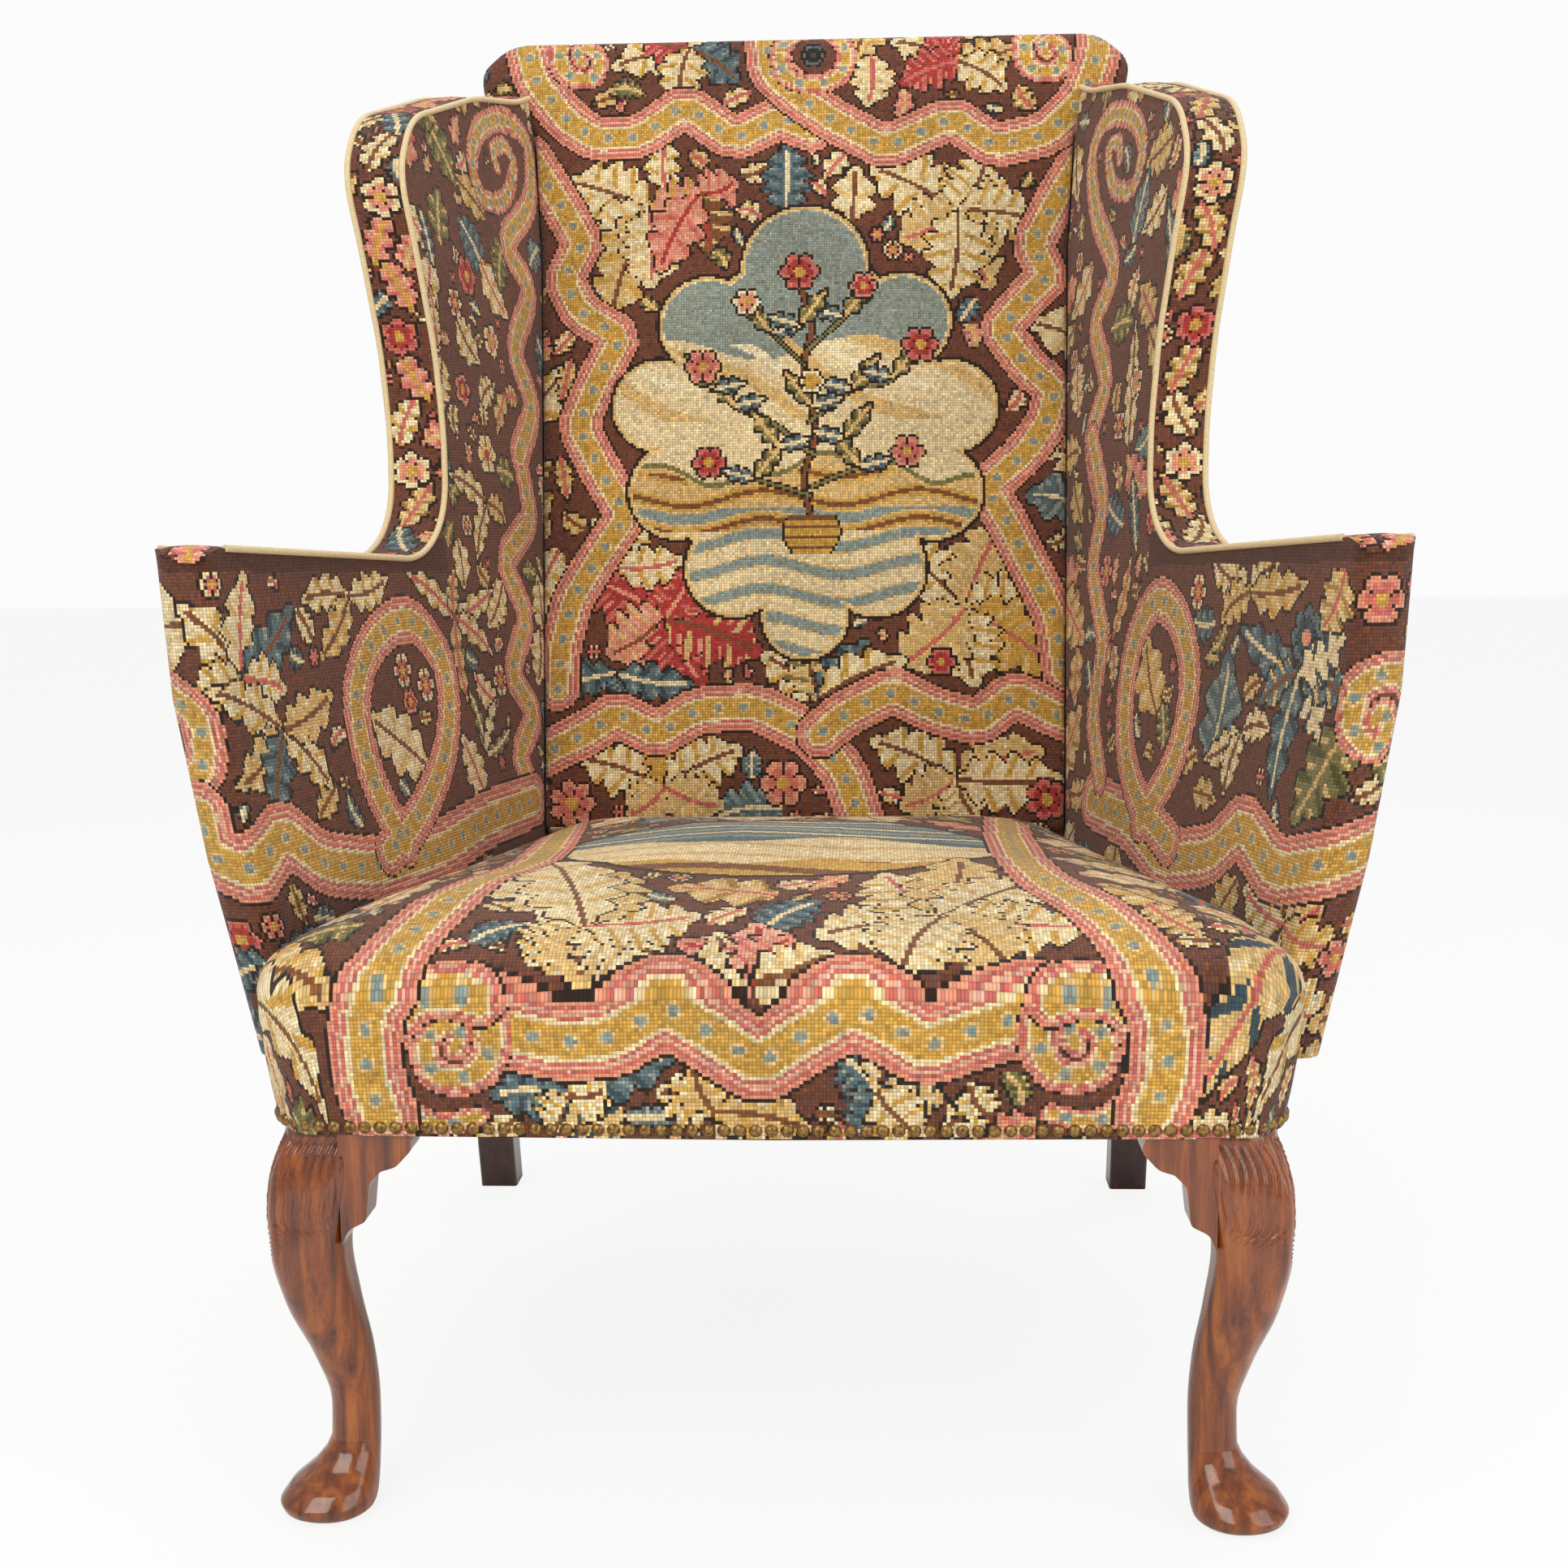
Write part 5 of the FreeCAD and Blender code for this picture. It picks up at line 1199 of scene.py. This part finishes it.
stem(back, [(1000, 640), (990, 590), (1005, 530), (990, 460), (1000, 400), (985, 350)], 4.5,
     "brown")
stem(back, [(1002, 560), (950, 520), (905, 500), (870, 460)], 3.5, "olive")
stem(back, [(998, 520), (1050, 480), (1095, 470), (1130, 430)], 3.5, "olive")
stem(back, [(992, 450), (950, 410), (925, 380)], 3.0, "olive")
stem(back, [(996, 430), (1040, 390), (1060, 360)], 3.0, "olive")
stem(back, [(1000, 600), (1060, 575), (1110, 560)], 3.0, "olive")
stem(back, [(998, 610), (930, 590), (880, 575)], 3.0, "olive")
for k, (px, py) in enumerate([(905, 500), (1050, 480), (950, 410), (1040, 390), (1060, 575),
                              (930, 590), (1000, 500), (985, 400), (880, 480), (1100, 465),
                              (960, 550), (1040, 540)]):
    turn_to = 1 if k % 2 else -1
    leaf(back, (px, py), (px + 36 * turn_to, py - 46), 11, "olive", "olive_dark", "straw", 3)
    leaf(back, (px, py), (px - 42 * turn_to, py - 10), 10, "blue", "blue_dark", "cream", 3)
blossoms = [
    (985, 335, 15, "rose", "red"), (866, 452, 14, "salmon", "rose"),
    (1134, 424, 14, "rose", "red"), (920, 372, 11, "cream_light", "salmon"),
    (1064, 352, 11, "salmon", "red"), (1118, 556, 13, "salmon", "rose"),
    (874, 570, 13, "rose", "red"), (1000, 470, 10, "cream_light", "gold"),
]
for px, py, radius, outer, inner in blossoms:
    flower(back, (px, py), radius * 1.35, 6, outer, inner, "gold")
base = back.cloth([(1000, 655)])[0]
jar_x, jar_y = np.abs(back.x - base[0]), back.y - base[1]
jar = 17 + 9 * np.sin((jar_y + 20) / 13.0)
in_jar = (jar_y > -22) & (jar_y < 16)
back.put(in_jar & (jar_x < jar + 2), "outline")
back.put(in_jar & (jar_x < jar), "gold")
back.put(in_jar & (jar_x < jar) & (np.abs(jar_y % 9 - 4) < 1.4), "brown")
fill_bare(back, 17.0)
fill_bare(back, 11.0)

piece = cloth_piece("back_pad", back_spots, back_keep, worn(back))
dress(piece, (0, -1, 0), 0.8, "back_inside_cover", "back_crest_cover", "back_stuffing")

# %% [markdown]
# ## Seat
# The tight seat is one crowned pad over springs. Its cloth runs over the front and the
# front corners down to the nails, and folds at both corners take in the cloth that is
# over.

# %% Seat cover
seat_half, seat_corner, seat_open = 239.72, 571.0, 0.2536


def seat_side(y, crown):
    return seat_half + (seat_corner - y) * seat_open - crown - 8.0


half_seat = [(-seat_side(567.0, 0.0), 567.0), (-seat_side(347.5, 5.0), 347.5),
             (-seat_side(138.0, 1.0), 138.0), (-349.0, -2.0)]
seat_line = rounded(half_seat + [(0.0, -10.0)] + [(-u, v) for u, v in reversed(half_seat)],
                    [6, 2500, 900, 52, 9000, 52, 900, 2500, 6])
seat_line = refine(seat_line, 3.0)
seat_in = np.array([0.0, 2.2, 6.4, 12.5, 20.5, 32.0, 48.0, 70.0, 100.0, 140.0, 190.0, 250.0, 400.0])
seat_rise = np.array([-8.0, 0.0, 7.0, 13.0, 18.0, 23.0, 28.5, 34.0, 40.0, 45.0, 49.5, 53.0, 54.0])


def seat_spot(a, b):
    """A place on the flat cloth of the seat, put on the pad."""
    at_a, at_b, gap = nearest_on(seat_line, a, b)
    inside = inside_line(seat_line, a, b)
    height = np.where(inside, 370.0 + np.interp(gap, seat_in, seat_rise), 362.0 - gap)
    height = np.maximum(height, 270.0)
    tuck_share = np.interp(height, [270.0, 282.0, 294.0, 318.0, 342.0, 362.0],
                           [1.0, 0.8, 0.6, 0.27, 0.05, 0.0])
    side_weight = (np.clip((np.abs(at_a) - 270.0) / 60.0, 0, 1)
                   * np.clip(1 - at_b / 2000, 0, 1))
    tuck = tuck_share * (6.0 + 6.0 * side_weight)
    toward_x, toward_y = -np.sign(at_a) * side_weight, 1.0 - side_weight
    size = np.hypot(toward_x, toward_y)
    x = np.where(inside, a, at_a + tuck * toward_x / size)
    y = np.where(inside, b, at_b + tuck * toward_y / size)
    corner_x, corner_y = np.abs(at_a) - 338.0, at_b - 14.0
    fold = np.exp(-(np.hypot(corner_x, corner_y) / 9.0) ** 2)
    dent = np.where(inside, 0.0, 2.6 * fold * np.clip((362.0 - height) / 30.0, 0, 1))
    x = x - np.sign(a) * dent * 0.7
    y = y + dent * 0.7
    return np.stack([x, y, height], -1)


a, b = np.meshgrid(np.arange(-445.0, 445.1, 2.5), np.arange(-110.0, 585.0, 2.5))
seat_spots = seat_spot(a, b)
ca, cb = cell_centres(a[..., None])[..., 0], cell_centres(b[..., None])[..., 0]
na, nb, gap = nearest_on(seat_line, ca, cb)
inside_seat = inside_line(seat_line, ca, cb)
seat_keep = inside_seat | ((gap < 92.5) & (nb < 200.0)) | (gap < 30.0)
print("seat cover stitches:", seat_keep.sum())

# %% Seat pattern
seat = Canvas(ca, cb, cell_centres(seat_spots),
              inside_seat & (cb < 430) | seat_keep & ~inside_seat & (nb < 150))
waves = np.sin(seat.y / 6.0 + 2.0 * np.sin(seat.x / 42.0))
centre = np.hypot((seat.x + 6.0) / 168.0, (seat.y - 262.0) / 118.0)
seat.put(centre < 1.04, "outline")
seat.put(centre < 1.0, "cream")
seat.put((centre < 1.0) & (waves > 0.78), "straw")
seat.put((centre < 1.0) & (seat.y > 262 + 9 * np.sin(seat.x / 26)), "blue")
seat.put((centre < 1.0) & (waves > 0.35) & (seat.y > 272), "blue_light")
seat.put((centre < 0.97) & (waves < -0.8) & (seat.y > 272), "cream")
seat.put((centre < 1.0) & (seat.y < 184 + 6 * np.sin(seat.x / 18)), "gold")
seat.put((centre < 1.0) & (seat.y < 180) & (waves > 0.3), "brown")
spray(seat, (720, 1140), [(610, 1090), (660, 1180), (720, 1210), (800, 1180), (840, 1130),
                          (760, 1085), (680, 1075)], 30, ["cream", "cream", "straw"],
      ["straw", "gold"], ["brown", "rose"], 6)
spray(seat, (1160, 1130), [(1030, 1150), (1100, 1085), (1180, 1070), (1280, 1090),
                           (1320, 1140), (1230, 1190), (1120, 1195)], 30,
      ["cream", "cream", "straw"], ["straw", "gold"], ["brown", "rose"], 6)
spray(seat, (930, 1215), [(850, 1170), (890, 1160), (930, 1150), (970, 1165), (1010, 1180)],
      20, ["salmon", "cream", "pink"], ["rose", "straw"], ["red", "brown"], 4)
spray(seat, (700, 1350), [(620, 1350), (680, 1385), (760, 1390), (810, 1310), (740, 1340)],
      18, ["blue", "cream", "straw"], ["blue_dark", "gold"], ["cream", "brown"])
spray(seat, (880, 1370), [(820, 1350), (860, 1320), (930, 1385), (980, 1390)], 18,
      ["cream", "straw"], ["gold"], ["brown"])
spray(seat, (1080, 1345), [(1040, 1310), (1120, 1300), (1150, 1350), (1060, 1390),
                           (1130, 1390)], 18, ["blue", "cream", "straw"],
      ["blue_dark", "gold"], ["cream", "brown"])
spray(seat, (1220, 1375), [(1170, 1390), (1200, 1340)], 14, ["cream"], ["gold"], ["brown"])
spray(seat, (370, 1290), [(345, 1200), (390, 1180), (410, 1250), (400, 1370), (350, 1350)],
      19, ["cream", "blue", "straw"], ["gold", "blue_dark"], ["brown", "cream"])
spray(seat, (1540, 1270), [(1500, 1150), (1560, 1190), (1580, 1300), (1540, 1370),
                           (1480, 1350)], 20, ["cream", "straw", "blue"],
      ["gold", "blue_dark"], ["brown", "rose"])
spray(seat, (450, 1140), [(400, 1150), (440, 1105), (520, 1090)], 18, ["cream", "blue"],
      ["gold", "blue_dark"], ["rose"])
spray(seat, (1480, 1120), [(1430, 1080), (1500, 1100), (1540, 1150)], 18, ["cream", "blue"],
      ["gold", "blue_dark"], ["rose"])
ribbon(seat, [(590, 1262), (690, 1285), (750, 1280), (820, 1238), (880, 1275), (935, 1312),
              (990, 1275), (1050, 1240), (1100, 1265), (1140, 1290), (1200, 1270),
              (1270, 1250)], 46)
ribbon(seat, [(560, 1292), (566, 1270), (545, 1262), (524, 1290), (540, 1326), (585, 1322),
              (605, 1285), (590, 1240), (545, 1224)], 14, 30, smooth=True)
ribbon(seat, [(590, 1236), (545, 1222), (500, 1248), (478, 1300), (492, 1360), (540, 1385),
              (590, 1375)], 26, 12, smooth=True)
ribbon(seat, [(470, 1375), (452, 1320), (452, 1250), (480, 1185), (540, 1120), (600, 1085),
              (660, 1060), (690, 1030), (700, 1010)], 44, 34, smooth=True)
ribbon(seat, [(1325, 1288), (1318, 1268), (1340, 1258), (1362, 1286), (1346, 1322),
              (1300, 1320), (1280, 1282), (1296, 1238), (1340, 1222)], 14, 30, smooth=True)
ribbon(seat, [(1296, 1236), (1340, 1220), (1386, 1248), (1406, 1300), (1390, 1358),
              (1345, 1382), (1295, 1372)], 26, 12, smooth=True)
ribbon(seat, [(1420, 1372), (1438, 1320), (1436, 1250), (1408, 1180), (1350, 1120),
              (1290, 1085), (1262, 1060), (1245, 1035), (1240, 1010)], 44, 34, smooth=True)
fill_bare(seat, 17.0)
fill_bare(seat, 11.0)

piece = cloth_piece("seat_pad", seat_spots, seat_keep, worn(seat))
dress(piece, (0, 0, 1), 0.9, "seat_cover", "seat_stuffing")

# %% [markdown]
# ## Carved front legs
# The knees of the front legs are carved with long curved grooves, like a feather, that
# run down from the rail. The leg's shape is kept, its skin is made
# fine and even, and the grooves are pressed in.

# %% Front legs
def carve(piece, side):
    mesh = piece.data
    count = len(mesh.vertices)
    places, normals = np.zeros(count * 3), np.zeros(count * 3)
    mesh.vertices.foreach_get("co", places)
    mesh.vertex_normals.foreach_get("vector", normals)
    places, normals = places.reshape(-1, 3), normals.reshape(-1, 3)
    x = side * places[:, 0] * 1000
    y = places[:, 1] * 1000 - front_plane
    z = places[:, 2] * 1000
    middle = np.interp(z, [150, 190, 217, 240, 270], [306, 311.5, 310.5, 307.5, 300.5])
    dx, dy = x - middle, y - (336.0 - middle)
    angle = np.arctan2(dx + dy, dx - dy)
    w = np.abs(angle) * 31.0
    sweep = w - 0.010 * (262.0 - z) ** 2 * (1 + 0.25 * np.sin(z / 9.0)) + 0.35 * (262.0 - z)
    fade = np.clip((267 - z) / 4, 0, 1) * np.clip((z - 176 - 0.5 * w) / 14, 0, 1)
    fade *= np.clip((52 - w) / 8, 0, 1) * np.clip((w - 2) / 3, 0, 1)
    groove = (0.5 - 0.5 * np.cos(2 * math.pi * sweep / 6.4)) ** 0.6 * 2.3 * fade
    places = places - normals * (groove * 0.001)[:, None]
    mesh.vertices.foreach_set("co", places.ravel())
    mesh.update()


for word, side in (("right", 1.0), ("left", -1.0)):
    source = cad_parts["front_leg_" + word]
    mesh = source.data.copy()
    leg = bpy.data.objects.new("carved_leg_" + word, mesh)
    bpy.context.scene.collection.objects.link(leg)
    bpy.ops.object.select_all(action="DESELECT")
    leg.select_set(True)
    bpy.context.view_layer.objects.active = leg
    fine = leg.modifiers.new("fine", "REMESH")
    fine.mode = "VOXEL"
    fine.voxel_size = 0.0013
    bpy.ops.object.modifier_apply(modifier="fine")
    ease = leg.modifiers.new("ease", "SMOOTH")
    ease.factor = 0.5
    ease.iterations = 6
    bpy.ops.object.modifier_apply(modifier="ease")
    carve(leg, side)
    leg.data.polygons.foreach_set("use_smooth", np.ones(len(leg.data.polygons), bool))
    leg.data.materials.clear()
    leg.data.materials.append(walnut)
    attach(leg, "root")
    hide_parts("front_leg_" + word)
    print(leg.name, len(leg.data.polygons), "faces")

# %% [markdown]
# ## Finishes of the CAD pieces
# The pieces that keep their CAD shape get the finish of the real ones, those that are
# hidden inside as well. Plain maroon cloth closes the rear of the chair.

# %% CAD finishes
finishes = [
    ("nails", brass), ("piping", cord_cream), ("knee_bracket", walnut),
    ("rear_leg_post", dark_wood), ("corner_block_screw", steel), ("seat_springs", steel),
    ("webbing", jute), ("hessian", hessian), ("dust_cover", cambric), ("wadding", hair),
    ("stuffing", hair), ("back_outside_cover", rear_cloth), ("front_leg", walnut),
]
for name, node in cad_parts.items():
    chosen = beech
    for word, material in finishes:
        if word in name:
            chosen = material
            break
    node.data.materials.clear()
    node.data.materials.append(chosen)
print("finished pieces:", len(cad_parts))

# %% [markdown]
# ## Floor and light
# A pale floor, one large soft lamp in front and above, a weaker one at the right side and a third
# one overhead.

# %% Floor and light
bpy.ops.object.select_all(action="DESELECT")
bpy.ops.mesh.primitive_plane_add(size=30.0, location=(0, 0, 0))
floor = bpy.context.object
floor.name = "floor"
material, nodes, links, shader = new_material("pale_floor")
shader.inputs["Base Color"].default_value = (0.9, 0.9, 0.9, 1)
shader.inputs["Roughness"].default_value = 0.9
glow = nodes.new("ShaderNodeEmission")
glow.inputs["Color"].default_value = (1, 1, 1, 1)
path = nodes.new("ShaderNodeLightPath")
blend_node = nodes.new("ShaderNodeMixShader")
share = math_node(nodes, links, "MULTIPLY", path.outputs["Is Camera Ray"], 0.86)
links.new(share, blend_node.inputs[0])
links.new(shader.outputs[0], blend_node.inputs[1])
links.new(glow.outputs[0], blend_node.inputs[2])
links.new(blend_node.outputs[0], nodes["Material Output"].inputs["Surface"])
floor.data.materials.append(material)
floor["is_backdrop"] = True


def lamp(name, place, size, power, colour=(1, 1, 1)):
    bpy.ops.object.light_add(type="AREA", location=place)
    light = bpy.context.object
    light.name = name
    light.data.size = size
    light.data.energy = power
    light.data.color = colour
    light.rotation_euler = (Vector((0, 0, 0.6)) - Vector(place)).to_track_quat("-Z", "Y").to_euler()


lamp("key", (-1.3, -2.6, 2.6), 2.4, 62, (1.0, 0.96, 0.9))
lamp("fill", (2.4, -2.0, 1.5), 2.4, 34, (1.0, 0.97, 0.93))
lamp("above", (0.2, 0.6, 3.0), 2.2, 26)
world = bpy.data.worlds.new("studio")
bpy.context.scene.world = world
world.use_nodes = True
nodes, links = world.node_tree.nodes, world.node_tree.links
nodes.clear()
output = nodes.new("ShaderNodeOutputWorld")
seen = nodes.new("ShaderNodeBackground")
seen.inputs["Color"].default_value = (0.97, 0.97, 0.97, 1)
seen.inputs["Strength"].default_value = 1.0
soft = nodes.new("ShaderNodeBackground")
soft.inputs["Color"].default_value = (1.0, 0.985, 0.96, 1)
soft.inputs["Strength"].default_value = 0.55
path = nodes.new("ShaderNodeLightPath")
pick = nodes.new("ShaderNodeMixShader")
links.new(path.outputs["Is Camera Ray"], pick.inputs[0])
links.new(soft.outputs[0], pick.inputs[1])
links.new(seen.outputs[0], pick.inputs[2])
links.new(pick.outputs[0], output.inputs["Surface"])
bpy.context.scene.view_settings.view_transform = "Standard"

# %% Sizes
low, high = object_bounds()
print("visual box", [round(v, 3) for v in low], [round(v, 3) for v in high])
